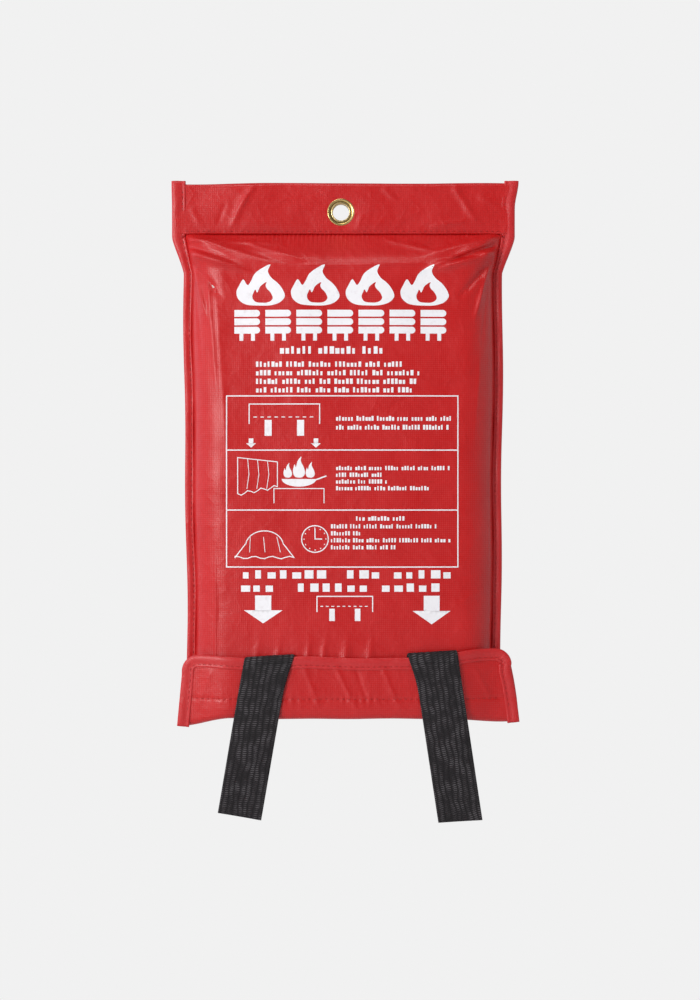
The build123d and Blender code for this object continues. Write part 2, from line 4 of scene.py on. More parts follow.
import bmesh
import bpy
import numpy as np
from mathutils import Matrix, Vector
from mathutils.bvhtree import BVHTree
from mathutils.geometry import tessellate_polygon
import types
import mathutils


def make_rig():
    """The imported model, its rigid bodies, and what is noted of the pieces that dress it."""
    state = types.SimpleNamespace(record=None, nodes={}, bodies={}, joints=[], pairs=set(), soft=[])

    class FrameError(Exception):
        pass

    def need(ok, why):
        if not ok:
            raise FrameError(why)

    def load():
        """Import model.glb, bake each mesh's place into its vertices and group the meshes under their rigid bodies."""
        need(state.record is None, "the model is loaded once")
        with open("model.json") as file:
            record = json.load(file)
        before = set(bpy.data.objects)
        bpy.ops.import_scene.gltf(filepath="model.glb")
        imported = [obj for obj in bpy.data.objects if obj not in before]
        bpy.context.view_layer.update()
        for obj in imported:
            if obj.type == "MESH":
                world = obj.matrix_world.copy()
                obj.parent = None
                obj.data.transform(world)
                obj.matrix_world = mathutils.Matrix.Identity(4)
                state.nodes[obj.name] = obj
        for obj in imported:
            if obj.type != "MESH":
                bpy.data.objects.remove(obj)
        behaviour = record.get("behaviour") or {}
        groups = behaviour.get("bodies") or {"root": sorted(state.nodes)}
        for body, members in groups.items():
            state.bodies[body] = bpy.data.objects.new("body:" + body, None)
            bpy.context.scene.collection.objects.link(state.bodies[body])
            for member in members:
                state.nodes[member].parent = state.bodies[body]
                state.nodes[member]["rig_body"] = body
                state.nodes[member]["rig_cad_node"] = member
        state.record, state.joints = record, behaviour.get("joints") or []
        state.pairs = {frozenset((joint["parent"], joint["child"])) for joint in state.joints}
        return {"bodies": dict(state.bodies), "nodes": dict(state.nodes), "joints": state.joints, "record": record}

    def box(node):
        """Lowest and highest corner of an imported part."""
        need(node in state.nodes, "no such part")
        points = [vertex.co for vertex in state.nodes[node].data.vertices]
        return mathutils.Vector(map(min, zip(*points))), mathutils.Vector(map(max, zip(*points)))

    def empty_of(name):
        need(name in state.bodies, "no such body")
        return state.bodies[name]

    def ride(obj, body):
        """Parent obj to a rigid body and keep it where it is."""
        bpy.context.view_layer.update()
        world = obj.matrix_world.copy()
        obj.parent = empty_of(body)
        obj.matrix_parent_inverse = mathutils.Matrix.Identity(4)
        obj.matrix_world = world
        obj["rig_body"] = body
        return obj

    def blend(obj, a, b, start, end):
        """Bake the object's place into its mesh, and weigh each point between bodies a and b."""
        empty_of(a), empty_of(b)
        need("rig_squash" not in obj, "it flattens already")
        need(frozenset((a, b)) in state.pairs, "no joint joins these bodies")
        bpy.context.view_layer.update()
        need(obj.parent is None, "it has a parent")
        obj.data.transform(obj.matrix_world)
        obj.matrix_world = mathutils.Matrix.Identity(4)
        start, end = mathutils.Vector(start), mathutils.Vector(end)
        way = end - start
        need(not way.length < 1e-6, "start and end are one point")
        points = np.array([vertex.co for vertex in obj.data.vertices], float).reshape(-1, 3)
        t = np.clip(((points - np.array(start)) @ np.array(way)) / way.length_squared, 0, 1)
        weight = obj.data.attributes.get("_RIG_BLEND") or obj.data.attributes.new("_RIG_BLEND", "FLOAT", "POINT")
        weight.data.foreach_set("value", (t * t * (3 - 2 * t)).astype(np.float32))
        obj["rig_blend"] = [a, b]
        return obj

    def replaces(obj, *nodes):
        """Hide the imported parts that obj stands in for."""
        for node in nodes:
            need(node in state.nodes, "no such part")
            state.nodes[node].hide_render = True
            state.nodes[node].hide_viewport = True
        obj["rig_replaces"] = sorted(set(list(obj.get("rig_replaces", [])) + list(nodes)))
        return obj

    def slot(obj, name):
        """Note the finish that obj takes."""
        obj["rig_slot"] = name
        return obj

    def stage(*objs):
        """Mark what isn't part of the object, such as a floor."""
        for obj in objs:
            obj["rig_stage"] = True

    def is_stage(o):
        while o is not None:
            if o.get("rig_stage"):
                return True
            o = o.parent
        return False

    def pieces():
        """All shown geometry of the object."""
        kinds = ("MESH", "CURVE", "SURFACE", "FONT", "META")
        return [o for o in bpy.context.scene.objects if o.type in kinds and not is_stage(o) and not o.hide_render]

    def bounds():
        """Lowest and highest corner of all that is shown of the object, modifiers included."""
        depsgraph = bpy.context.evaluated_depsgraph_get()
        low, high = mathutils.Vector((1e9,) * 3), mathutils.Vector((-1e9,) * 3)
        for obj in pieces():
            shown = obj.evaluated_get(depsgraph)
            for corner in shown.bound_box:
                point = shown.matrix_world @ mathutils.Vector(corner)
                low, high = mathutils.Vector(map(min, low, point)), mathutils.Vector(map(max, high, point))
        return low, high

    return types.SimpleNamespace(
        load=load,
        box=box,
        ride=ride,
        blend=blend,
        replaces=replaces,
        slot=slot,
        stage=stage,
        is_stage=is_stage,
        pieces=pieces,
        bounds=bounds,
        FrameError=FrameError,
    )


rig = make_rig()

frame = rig.load()
CAD_LOW, CAD_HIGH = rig.bounds()

# The looks of a fire blanket in a soft pouch. Sizes are millimetres until a mesh is made.
# A place is (x, depth, height): depth is the distance in front of the wall, so y = -depth.
MM = 0.001


def span(node):
    """A node's lowest and highest corner as (x, depth, height), in millimetres."""
    low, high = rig.box(node)
    return (low.x / MM, -high.y / MM, low.z / MM), (high.x / MM, -low.y / MM, high.z / MM)


def hinge(name):
    """(depth, height) of a hinge line."""
    joint = next(j for j in frame["joints"] if j["name"] == name)
    return -joint["pos_m"][1] / MM, joint["pos_m"][2] / MM


# Places from the frame
HEADER_LOW, HEADER_HIGH = span("header_band")
PANEL_LOW, PANEL_HIGH = span("front_panel")
FLAP_HIGH = span("closing_flap")[1]
BLANKET_LOW, BLANKET_HIGH = span("blanket")
SEAM = HEADER_LOW[2]
MOUTH = PANEL_LOW[2]
BACK_FOLD = hinge("flap_base_fold")
FRONT_FOLD = hinge("flap_fold")
FLAP_FRONT = FLAP_HIGH[1]
HOOK_ROW = span("hook_strip_stitching")[0][2]
WORDS = {-1: "left", 1: "right"}

# Sizes of the cloth
CLOTH = 0.7
BINDING_THICK = 1.05
HEADER_DEPTH = HEADER_HIGH[1]
MARGIN_DEPTH = 1.6
BULGE_SIDE = 20.0      # how far in from the binding the bulge is still rounding
SHOULDER = 16.0        # height of the slope between the header and the bulge
CROWN = 2.2            # how much the middle of the bulge stands out over its sides
WAIST = (-15.0, -35.5)  # heights between which the sides draw in

# The two sides of the pouch, -1 for the left and 1 for the right, aren't quite alike
HEADER_HALF = {-1: 97.0, 1: 99.8}
BODY_HALF = {-1: 90.2, 1: 92.8}
LEAN = {-1: 1.9, 1: 1.0}       # how much narrower the mouth is than the waist
TIP = {-1: 0.3, 1: 2.2}        # how far the header's upper tip stands out


def smooth(share):
    """0 to 1 with level ends, for numbers and arrays."""
    share = np.clip(share, 0, 1)
    return share * share * (3 - 2 * share)


def waves(x, z, length, seed, count=7):
    """Gentle unevenness between about -1 and 1: crossing waves of about one length."""
    rng = np.random.default_rng(seed)
    total = 0
    for _ in range(count):
        turn = rng.uniform(0, math.tau)
        size = math.tau / (length * rng.uniform(0.7, 1.6))
        phase = rng.uniform(0, math.tau)
        total = total + np.sin(size * (x * math.cos(turn) + z * math.sin(turn)) + phase)
    return total / math.sqrt(count)


def side_edge(side, z):
    """Half width of the pouch at a height. The waist draws in nearly straight; the header's tips lean out."""
    share = (z - WAIST[0]) / (WAIST[1] - WAIST[0])
    waist = 0.75 * np.clip(share, 0, 1) + 0.25 * smooth(share)
    lean = LEAN[side] * smooth((z + 60) / -190)
    tip = TIP[side] * smooth((z - 2) / 16)
    uneven = 0.4 * np.sin(z / 17.0 + side) * waist
    return HEADER_HALF[side] + (BODY_HALF[side] - HEADER_HALF[side]) * waist - lean + tip + uneven


def binding_width(z):
    """Width of the side bindings: full in the header, partly rolled under along the body."""
    return 8.0 - 2.6 * smooth((z - WAIST[0]) / (WAIST[1] - WAIST[0]))


def fold_line(x, z, start, end, width, height):
    """A crease that runs from start to end, fading out towards its end."""
    run = np.array(end) - np.array(start)
    length = np.hypot(*run)
    along = ((x - start[0]) * run[0] + (z - start[1]) * run[1]) / length
    across = ((x - start[0]) * run[1] - (z - start[1]) * run[0]) / length
    share = along / length
    fade = smooth((share + 0.15) / 0.2) * smooth((1.15 - share) / 0.6)
    return height * fade * np.exp(-np.abs(across / width) ** 1.4)


# Creases that spread from the waist into the shoulder: inner and outer end, width, height.
# Distances across are measured from the middle; each is drawn on both sides.
WAIST_FOLDS = (
    ((88, -15), (46, -27), 2.4, 3.0),
    ((88, -20), (60, -30), 2.0, -3.0),
    ((86, -25), (52, -36), 2.0, 2.6),
    ((85, -31), (68, -50), 1.8, -2.0),
    ((84, -35), (76, -64), 1.5, 2.0),
    ((83, -44), (79, -90), 1.4, -1.2),
)
LEFT_FOLDS = (
    ((-84, -17), (-34, -19), 1.2, 1.3), ((-66, -21), (-26, -32), 1.4, -1.1),
    ((-50, -20), (-20, -30), 1.3, 0.9), ((-76, -40), (-70, -110), 1.6, 0.7),
    ((-70, -60), (-64, -150), 2.0, 0.4),
)
RIGHT_FOLDS = (
    ((84, -19), (44, -37), 1.6, 2.0), ((80, -27), (56, -29), 2.0, -2.4), ((28, -17), (64, -27), 1.4, 1.0),
    ((-20, -33), (58, -31.5), 1.1, 0.8), ((82, -52), (76, -130), 1.6, 0.7),
)


def folds(x, z, creases):
    """All the creases of a list: start, end, width and height of each."""
    return sum(fold_line(x, z, *crease) for crease in creases)


def corner_folds(x, z):
    """Creases of the shoulder."""
    return folds(-x, z, WAIST_FOLDS) + folds(x, z, WAIST_FOLDS) + folds(x, z, LEFT_FOLDS + RIGHT_FOLDS)


def shoulder_edge(x):
    """Height of the line where the shoulder meets the bulge: lowest in the middle."""
    return SEAM - SHOULDER + 4.5 * smooth((np.abs(x) - 50) / 34) + 0.8 * waves(x, 0, 60, 3)


def panel_depth(x, z):
    """Depth of the front panel's face."""
    rise = PANEL_HIGH[1] - MARGIN_DEPTH - CROWN + 0.9
    shares = []
    for side in WORDS:
        inward = side_edge(side, z) - binding_width(z) + 0.6 - side * x
        share = np.clip(inward / BULGE_SIDE, 0, 1)
        shares.append(np.sqrt(1 - (1 - share) ** 2.2))
    sides = shares[0] * shares[1]
    drop = (SEAM - z) / np.maximum(SEAM - shoulder_edge(x), 1)
    slope = np.clip(drop, 0, 3)
    shoulder = 1 - np.log1p(np.exp(-9 * (slope - 1))) / 9
    shoulder = np.clip(shoulder - (1 - np.log1p(np.exp(9)) / 9) * (1 - smooth(slope)), 0, 1.02)
    crown = CROWN * (1 - (x / 80) ** 2) * smooth(drop / 3)
    body = smooth(drop - 0.6)
    uneven = 0.34 * waves(x, z * 0.5, 60, 11) + 0.12 * waves(x, z * 0.7, 22, 12)
    puckers = seam_puckers(x, z) + mouth_puckers(x, z)
    inside = smooth(sides * 1.2)
    relief = crown + corner_folds(x, z) + uneven * body + puckers
    return np.maximum(MARGIN_DEPTH + rise * sides * shoulder + inside * relief, over_blanket(x, z))


def over_blanket(x, z):
    """Least depth of the front panel, which lies on the blanket."""
    side = smooth((np.abs(x) - BLANKET_HIGH[0] + 2) / 5)
    top = smooth((z - BLANKET_HIGH[2] + 3) / 6)
    return BLANKET_HIGH[1] + CLOTH + 0.15 - 30 * side - 30 * top


def seam_puckers(x, z):
    """Small gathers that the header's stitching pulls into the cloth below it."""
    reach = np.exp(-np.maximum(SEAM - z, 0) / 2.6)
    strength = 0.35 + 0.65 * smooth((40 - np.abs(x + 18)) / 30)
    return 0.36 * reach * strength * np.sin(math.tau * x / 2.5 + 0.6 * np.sin(x / 5.0))


# Place across, width and height of the gathers above the flap
MOUTH_GATHERS = (
    (-48, 2.2, 0.5), (-36, 1.8, 0.5), (-19, 1.7, 0.7), (-10, 1.8, 0.8), (2.5, 2.6, 1.1), (16, 2.2, 0.8),
)


def mouth_puckers(x, z):
    """Upright gathers just above the flap, mostly left of the middle."""
    total = 0
    top = FLAP_HIGH[2]
    for place, width, height in MOUTH_GATHERS:
        total = total + height * np.exp(-(((x - place - 0.12 * (z - top)) / width) ** 2))
    return total * np.exp(-(((z - top + 2) / 11.0) ** 2))


# ---- making meshes ----

def places(*values):
    """Places (x, depth, height) or cloth coordinates; each value is a number or an array."""
    return np.stack(np.broadcast_arrays(*values), -1)


def ring_points(centre, radius, start, stop, count):
    """Points on a circle, angles in radians."""
    turns = np.linspace(start, stop, count)
    return [(centre[0] + radius * math.cos(t), centre[1] + radius * math.sin(t)) for t in turns]


def put(name, data):
    """Object in the scene."""
    obj = bpy.data.objects.new(name, data)
    bpy.context.scene.collection.objects.link(obj)
    return obj


def mesh_of(name, work):
    """Mesh made of a bmesh, which is used up."""
    mesh = bpy.data.meshes.new(name)
    work.to_mesh(mesh)
    work.free()
    return mesh


def make_object(name, corners, faces, uv=None):
    """Object from (x, depth, height) corners in millimetres. uv is one (u, v) per corner, in millimetres."""
    corners = np.asarray(corners, float)
    points = np.stack([corners[:, 0], -corners[:, 1], corners[:, 2]], 1) * MM
    mesh = bpy.data.meshes.new(name)
    mesh.from_pydata(points.tolist(), [], faces)
    mesh.validate()
    if uv is not None:
        layer = mesh.uv_layers.new(name="cloth")
        used = np.zeros(len(mesh.loops), int)
        mesh.loops.foreach_get("vertex_index", used)
        layer.data.foreach_set("uv", np.asarray(uv, float)[used].ravel())
    mesh.shade_smooth()
    obj = put(name, mesh)
    fix_normals(obj)
    return obj


def grid_faces(rows, columns, start=0, flip=False, wrap=False):
    """Quads of a grid whose places run along columns first."""
    faces = []
    last = columns if wrap else columns - 1
    for row in range(rows - 1):
        for column in range(last):
            a = start + row * columns + column
            b = start + row * columns + (column + 1) % columns
            face = (a, b, b + columns, a + columns)
            faces.append(face[::-1] if flip else face)
    return faces


def sheet(name, rows, thick=CLOTH, flip=False):
    """Closed sheet of cloth. A row of its outer face is (x, depth, height, length along the cloth)."""
    grid = np.array([places(x, depth, z) for x, depth, z, _ in rows])
    uv = np.array([places(x, along) for x, _, _, along in rows])
    if flip:
        grid, uv = grid[:, ::-1], uv[:, ::-1]
    height, width = grid.shape[:2]
    normal = np.cross(np.gradient(grid, axis=1), np.gradient(grid, axis=0))
    normal /= np.maximum(np.linalg.norm(normal, axis=2, keepdims=True), 1e-9)
    corners = np.concatenate([grid.reshape(-1, 3), (grid - normal * thick).reshape(-1, 3)])
    count = height * width
    faces = grid_faces(height, width, flip=True) + grid_faces(height, width, start=count)
    numbers = np.arange(count).reshape(height, width)
    ring = np.concatenate([numbers[0], numbers[1:, -1], numbers[-1, -2::-1], numbers[-2:0:-1, 0]]).tolist()
    for a, b in zip(ring, ring[1:] + ring[:1]):
        faces.append((a, b, b + count, a + count))
    flat = uv.reshape(-1, 2)
    return make_object(name, corners, faces, np.concatenate([flat, flat]))


def tube(name, rings, uv):
    """Closed skin through rings of places. rings is rows x points x 3; each ring is one cross-section."""
    rings = np.asarray(rings, float)
    rows, points = rings.shape[:2]
    faces = grid_faces(rows, points, wrap=True)
    faces.append(tuple(range(points)))
    faces.append(tuple(range((rows - 1) * points, rows * points))[::-1])
    return make_object(name, rings.reshape(-1, 3), faces, np.asarray(uv, float).reshape(-1, 2))


def fix_normals(obj):
    """Turns all faces outwards."""
    work = bmesh.new()
    work.from_mesh(obj.data)
    bmesh.ops.recalc_face_normals(work, faces=work.faces)
    work.to_mesh(obj.data)
    work.free()


def join(name, objects):
    """Makes one object of several."""
    work = bmesh.new()
    for obj in objects:
        work.from_mesh(obj.data)
    first = objects[0]
    work.to_mesh(first.data)
    work.free()
    first.name = name
    first.data.name = name
    for obj in objects[1:]:
        bpy.data.objects.remove(obj)
    return first


# ---- pouch ----

def pouch_columns(z, count):
    """Places across the pouch at a height, from edge to edge of the cloth inside its bindings."""
    left, right = (side_edge(side, z) - 0.8 for side in WORDS)
    return -left + (left + right) * np.linspace(0, 1, count)


def front_panel():
    """The printed front, from just under the header band down to the mouth."""
    shoulder = np.linspace(SEAM + 3, -64, 64)
    middle = np.linspace(-64, -240, 46)[1:]
    gathers = np.linspace(-240, MOUTH, 28)[1:]
    rows = []
    for z in (*shoulder, *middle, *gathers):
        x = pouch_columns(z, 330)
        depth = panel_depth(x, z)
        depth = depth + (2 * CLOTH - 0.1 - depth) * smooth((z - SEAM + 0.2) / 0.9)
        rows.append((x, depth, z, z))
    return sheet("front_panel_cloth", rows)


def lower_fold(x):
    """(depth, height) of the flap's front crease. Towards its ends the flap sinks back and hangs lower."""
    end = flap_end(x)
    lower = np.where(x < 0, 4.4, 2.4) * end
    depth = FLAP_FRONT - 7.5 * end
    return depth, FRONT_FOLD[1] + 0.9 - lower + 0.3 * waves(x, 0, 50, 21)


def flap_end(x):
    """0 along the middle of the flap, 1 at its ends."""
    return smooth((np.abs(x) - 62) / 30)


def flap_half(side, z):
    """Half width of the flap, wider at the fold."""
    share = (z - FRONT_FOLD[1]) / (FLAP_HIGH[2] - FRONT_FOLD[1])
    if side < 0:
        return 92.6 - 3.4 * share
    return 101.2 - 6.6 * share + 0.8 * np.sin(share * math.pi)


def back_sheet():
    """The flat back, the fold behind the mouth and the rear half of the flap's level leaf."""
    radius = 1.6
    low = BACK_FOLD[1]
    steps = [("back", z) for z in np.linspace(SEAM + 3, low + radius, 90)]
    steps += [("turn", turn) for turn in np.linspace(0, math.pi / 2, 8)[1:]]
    steps += [("floor", share) for share in np.linspace(0, 1, 10)[1:]]
    rows = []
    for number, (kind, value) in enumerate(steps, 1):
        z = value if kind == "back" else low
        x = pouch_columns(z, 100)
        if kind == "back":
            near_edge = smooth((np.abs(x) - (x[-1] - x[0]) / 2 + 11) / 5)
            depth = 0.25 + 0.75 * near_edge + 0.12 * waves(x, z, 40, 51) * (1 - near_edge)
        elif kind == "turn":
            depth = radius * (1 - math.cos(value))
            z = low + radius * (1 - math.sin(value))
        else:
            front_depth, front_height = lower_fold(x)
            depth = radius + (front_depth / 2 - radius) * value
            z = low + (front_height - low) * value ** 2
        rows.append((x, depth, z, -2.0 * number))
    return sheet("back_cloth", rows, flip=True)


def flap_top(x):
    """Height of the flap's top edge: pressed down by the left tape and standing up at the right."""
    base = FLAP_HIGH[2] + 0.3
    right = 4.7 * smooth((x - 42) / 40)
    left = 1.0 * smooth((-x - 54) / 24)
    between = 0.8 * np.exp(-(((x + 20) / 14) ** 2)) - 0.3 * np.exp(-(((x - 12) / 14) ** 2))
    pressed = -1.1 * np.exp(-(((x + 41.5) / 9) ** 2))
    return base + right + left + between + pressed


def flap_depth(x, z):
    """Depth of the flap's front face: rounded over the mouth, sinking back at its ends."""
    share = np.clip((z - lower_fold(x)[1]) / (FLAP_HIGH[2] - FRONT_FOLD[1]), 0, 1.2)
    end = flap_end(x)
    ends = FLAP_FRONT - end * (7.5 - 1.0 * share)
    uneven = 0.35 * waves(x, z * 0.5, 45, 31) * (1 - share * 0.5) + 0.12 * waves(x, z, 16, 32)
    stitched = -0.3 * np.exp(-(((z - HOOK_ROW) / 1.1) ** 2))
    tucked = -0.2 * np.maximum(HOOK_ROW - 5.5 - z, 0) * (1 - end)
    swell = 0.13 * (1 + np.sin(x / 7.0)) * np.exp(-np.abs(z - HOOK_ROW) / 2.6)
    gathers = swell * np.sin(math.tau * x / 4.1 + 2 * np.sin(x / 9)) * (1 - 0.5 * end)
    loose = np.minimum(uneven, 0.3) * (0.4 + 0.6 * end)
    return ends + loose + stitched + tucked + gathers + folds(x, z, FLAP_STREAKS)


FLAP_STREAKS = (
    ((-20, -262), (-12, -284), 1.4, 0.5), ((-3, -260), (10, -287), 1.3, 0.6),
    ((9, -262), (15, -281), 1.2, -0.5), ((24, -262), (34, -286), 1.4, 0.5),
    ((-74, -264), (-82, -286), 1.6, 0.5), ((76, -262), (88, -284), 1.5, 0.5),
)


def flap_front():
    """The front half of the level leaf, the front crease and the upright leaf, one sheet."""
    radius = 4.2
    steps = [("floor", share) for share in np.linspace(0, 1, 9)]
    steps += [("turn", turn) for turn in np.linspace(0, math.pi / 2, 10)[1:]]
    steps += [("leaf", share) for share in np.linspace(0, 1, 46)[1:]]
    rows = []
    for kind, value in steps:
        rise = value * (FLAP_HIGH[2] - FRONT_FOLD[1]) if kind == "leaf" else 0
        left, right = (flap_half(side, FRONT_FOLD[1] + rise) for side in WORDS)
        x = -left + (left + right) * np.linspace(0, 1, 220)
        fold_depth, z = lower_fold(x)
        corner = flap_depth(x, z + radius)
        if kind == "floor":
            depth = fold_depth / 2 + (corner - radius - fold_depth / 2) * value
        elif kind == "turn":
            depth = corner - radius + radius * math.sin(value)
            z = z + radius * (1 - math.cos(value))
        else:
            z = z + radius + (flap_top(x) - z - radius) * value
            depth = flap_depth(x, z)
            x = x - np.sign(x) * flap_corner_inset(x, z)
        rows.append((x, depth, z, z))
    return sheet("flap_cloth", rows, flip=True)


CORNER = 9.0           # radius of the flap's upper corners
HEADER_CREASES = (
    ((-55, 9), (-64, -10), 1.6, 0.8), ((-51, 14), (-59, 1), 1.4, 0.6), ((-67, 4), (-72, -9), 1.2, -0.4),
    ((12, -2), (8, -12), 1.2, 0.4), ((25, 13), (33, 6), 1.4, 0.5), ((66, 13), (79, -7), 1.7, 0.8),
    ((54, -8), (76, -4), 1.4, 0.5), ((80, 9), (90, 3), 1.6, 0.4), ((-86, 2), (-80, -10), 1.3, 0.4),
)


def flap_corner_inset(x, z):
    """How far the flap's end is drawn in beside a rounded upper corner."""
    over = np.clip((z - (flap_top(x) - CORNER)) / CORNER, 0, 1)
    near = smooth((np.abs(x) - 60) / 36)
    return CORNER * (1 - np.sqrt(1 - over ** 2 * 0.999)) * near


def header_cloth():
    """Band folded over the top of the pouch, with a hole for the eyelet."""
    rear = 0.1
    bend = (HEADER_DEPTH - rear) / 2
    crease = HEADER_HIGH[2] - bend
    steps = [(HEADER_DEPTH, z, 1) for z in np.linspace(SEAM, crease, 30)]
    steps += [(depth, z, 0.6) for depth, z in ring_points((rear + bend, crease), bend, 0, math.pi, 10)[1:-1]]
    steps += [(rear, z, 0) for z in np.linspace(crease, SEAM + 0.5, 24)]
    x = np.linspace(-96.2, 99.0, 180)
    rows = []
    for depth, z, front in steps:
        uneven = 0.6 * waves(x + z * 0.35, z * 0.4, 46, 41) + 0.3 * waves(x, z, 20, 42)
        uneven = uneven + 2 * folds(x, z, HEADER_CREASES)
        flat = (1 - np.exp(-((x ** 2 + z ** 2) / 150.0))) * (0.15 + 0.85 * smooth((z - SEAM) / 6))
        lift = front * flat * 0.6 * (uneven + 1)
        line = 0.35 * waves(x, 0, 70, 43) * smooth((z - 8) / 9)
        rows.append((x, depth + lift, z + line, z if front else -z))
    obj = sheet("header_cloth", rows, 0.5)
    cut_eyelet_hole(obj)
    return obj


def cut_eyelet_hole(obj):
    """Cuts the cloth where the eyelet's barrel passes."""
    work = bmesh.new()
    bmesh.ops.create_cone(work, cap_ends=True, segments=64, radius1=5.5 * MM, radius2=5.5 * MM, depth=30 * MM)
    bmesh.ops.rotate(work, verts=work.verts, matrix=Matrix.Rotation(math.pi / 2, 3, "X"))
    cutter = put("cutter", mesh_of("cutter", work))
    change = obj.modifiers.new("cut", "BOOLEAN")
    change.operation = "DIFFERENCE"
    change.object = cutter
    graph = bpy.context.evaluated_depsgraph_get()
    mesh = bpy.data.meshes.new_from_object(obj.evaluated_get(graph))
    obj.modifiers.clear()
    obj.data = mesh
    bpy.data.objects.remove(cutter)


def tape_ring(across, half_thick, groove):
    """Cross-section of a folded binding tape: (distance in from its outer edge, height over its middle)."""
    ring = []
    for turn in np.linspace(0, math.tau, 28, endpoint=False):
        c, s = math.cos(turn), math.sin(turn)
        a = across / 2 * (1 - math.copysign(abs(c) ** 0.55, c))
        b = half_thick * math.copysign(abs(s) ** 0.45, s)
        b *= 1 - groove * math.exp(-(((a - across + 1.9) / 0.55) ** 2))
        b *= 1 + 0.22 * math.exp(-(((a - across * 0.3) / (across * 0.3)) ** 2))
        ring.append((a, b))
    return ring


def edge_tape(name, path, inward, place, width, half_thick):
    """Binding tape along a path of (x, z) points. inward gives the way to its inner edge at each point."""
    rings, uv = [], []
    run = 0.0
    for previous, point, way in zip(path[:1] + path, path, inward):
        run += math.dist(point, previous)
        across = width(point)
        ring, ring_uv = [], []
        for a, b in tape_ring(across, half_thick, 0.5):
            wobble = 0.12 * math.sin(run / 2.3) * (a / across)
            rise = b * (1 + 0.12 * math.sin(run / 5.1)) + wobble
            ring.append(place(point[0] + way[0] * a, point[1] + way[1] * a, rise))
            ring_uv.append((a + (20 if b < 0 else 0), run))
        rings.append(ring)
        uv.append(ring_uv)
    return tube(name, rings, uv)


def side_binding(side):
    """Tape folded round one side, from above the header down to the mouth."""
    path, inward = [], []
    for z in np.linspace(MOUTH, 18.0, 190):
        path.append((side * (side_edge(side, z) + 0.5), z))
        slope = side_edge(side, z + 0.5) - side_edge(side, z - 0.5)
        size = math.hypot(1, slope)
        inward.append((-side / size, slope / size))

    def place(x, z, rise):
        return (x, MARGIN_DEPTH - 0.15 + 0.25 * smooth((z + 10) / 10) + rise * 1.15, z)

    def width(point):
        return binding_width(point[1]) + 0.25 * math.sin(point[1] / 9.0)

    return edge_tape(f"side_binding_{WORDS[side]}_tape", path, inward, place, width, BINDING_THICK * 1.15)


def flap_path():
    """The flap's edge from its lower left end over the top to its lower right end, with its inward way."""
    out = 0.4
    low, high = lower_fold(-96.0)[1] + out, flap_top(-95.0) - CORNER
    points = [(-flap_half(-1, z) - out, z) for z in np.linspace(low, high, 24)[:-1]]
    left = (points[-1][0] + CORNER + 0.3, flap_top(-84.0) - CORNER)
    points += ring_points(left, CORNER + out, math.pi, math.pi / 2, 14)
    right_x = flap_half(1, FLAP_HIGH[2] - CORNER) - CORNER
    points += [(x, flap_top(x) + out) for x in np.linspace(left[0], right_x, 90)[1:-1]]
    right = (right_x, flap_top(right_x) - CORNER)
    points += ring_points(right, CORNER + out, math.pi / 2, 0, 14)
    low = lower_fold(97.0)[1] + out
    points += [(flap_half(1, z) + out, z) for z in np.linspace(right[1], low, 24)[1:]]
    points = np.array(points)
    points[1:-1] = (points[:-2] + 2 * points[1:-1] + points[2:]) / 4
    run = np.gradient(points, axis=0)
    run /= np.linalg.norm(run, axis=1, keepdims=True)
    return points.tolist(), np.stack([run[:, 1], -run[:, 0]], 1).tolist()


def flap_binding():
    """Tape folded round the flap's ends and top."""
    path, inward = flap_path()

    def place(x, z, rise):
        return (x, flap_depth(x, z) - CLOTH / 2 + rise, z)

    return edge_tape("flap_binding_tape", path, inward, place, lambda point: 7.0, BINDING_THICK)


# ---- pull tapes ----

WEBBING = 1.2
TAPE_WIDE = 25.0
SPLAY = {"left": math.radians(9.8), "right": math.radians(8.7)}
CUT = {"left": 1.0, "right": 0.4}      # how square each free end is cut
TOP_RISE = {"left": -1.0, "right": 1.3}  # the left tape presses the flap's edge down, the right one stands up
RIB_COLUMN = 3.12      # width of one column of ribs
RIB = 1.15             # distance from rib to rib
CUT_ROWS = 12          # rows over which the cut end turns square
TAPE_CURL = 0.5


def tape_line(joint_places, rise):
    """Middle line of a tape as (depth, height) rows, its run from the top of its upper fold, and that row."""
    foot, inner, outer, tail, root_top, end = joint_places
    radius = (outer[0] - inner[0]) / 2
    turn = (inner[0] + radius, inner[1] + rise - radius)
    foot_radius = (inner[0] - root_top[0]) / 2
    low = (inner[0] - foot_radius, foot[1] + foot_radius)
    line = [(root_top[0], z) for z in np.linspace(root_top[1], low[1], 24)]
    line += ring_points(low, foot_radius, math.pi, math.tau, 13)[1:-1]
    line += [(inner[0], z) for z in np.linspace(low[1], turn[1], 40)]
    middle = len(line) + 7
    line += ring_points(turn, radius, math.pi, 0, 17)[1:-1]
    for z in np.arange(turn[1], end, -1.0):
        line.append((outer[0] - 5.0 * smooth((FRONT_FOLD[1] + 4 - z) / 55), z))
    line = np.array(line)
    run = np.concatenate([[0], np.cumsum(np.hypot(*np.diff(line, axis=0).T))])
    return line, run - run[middle], middle


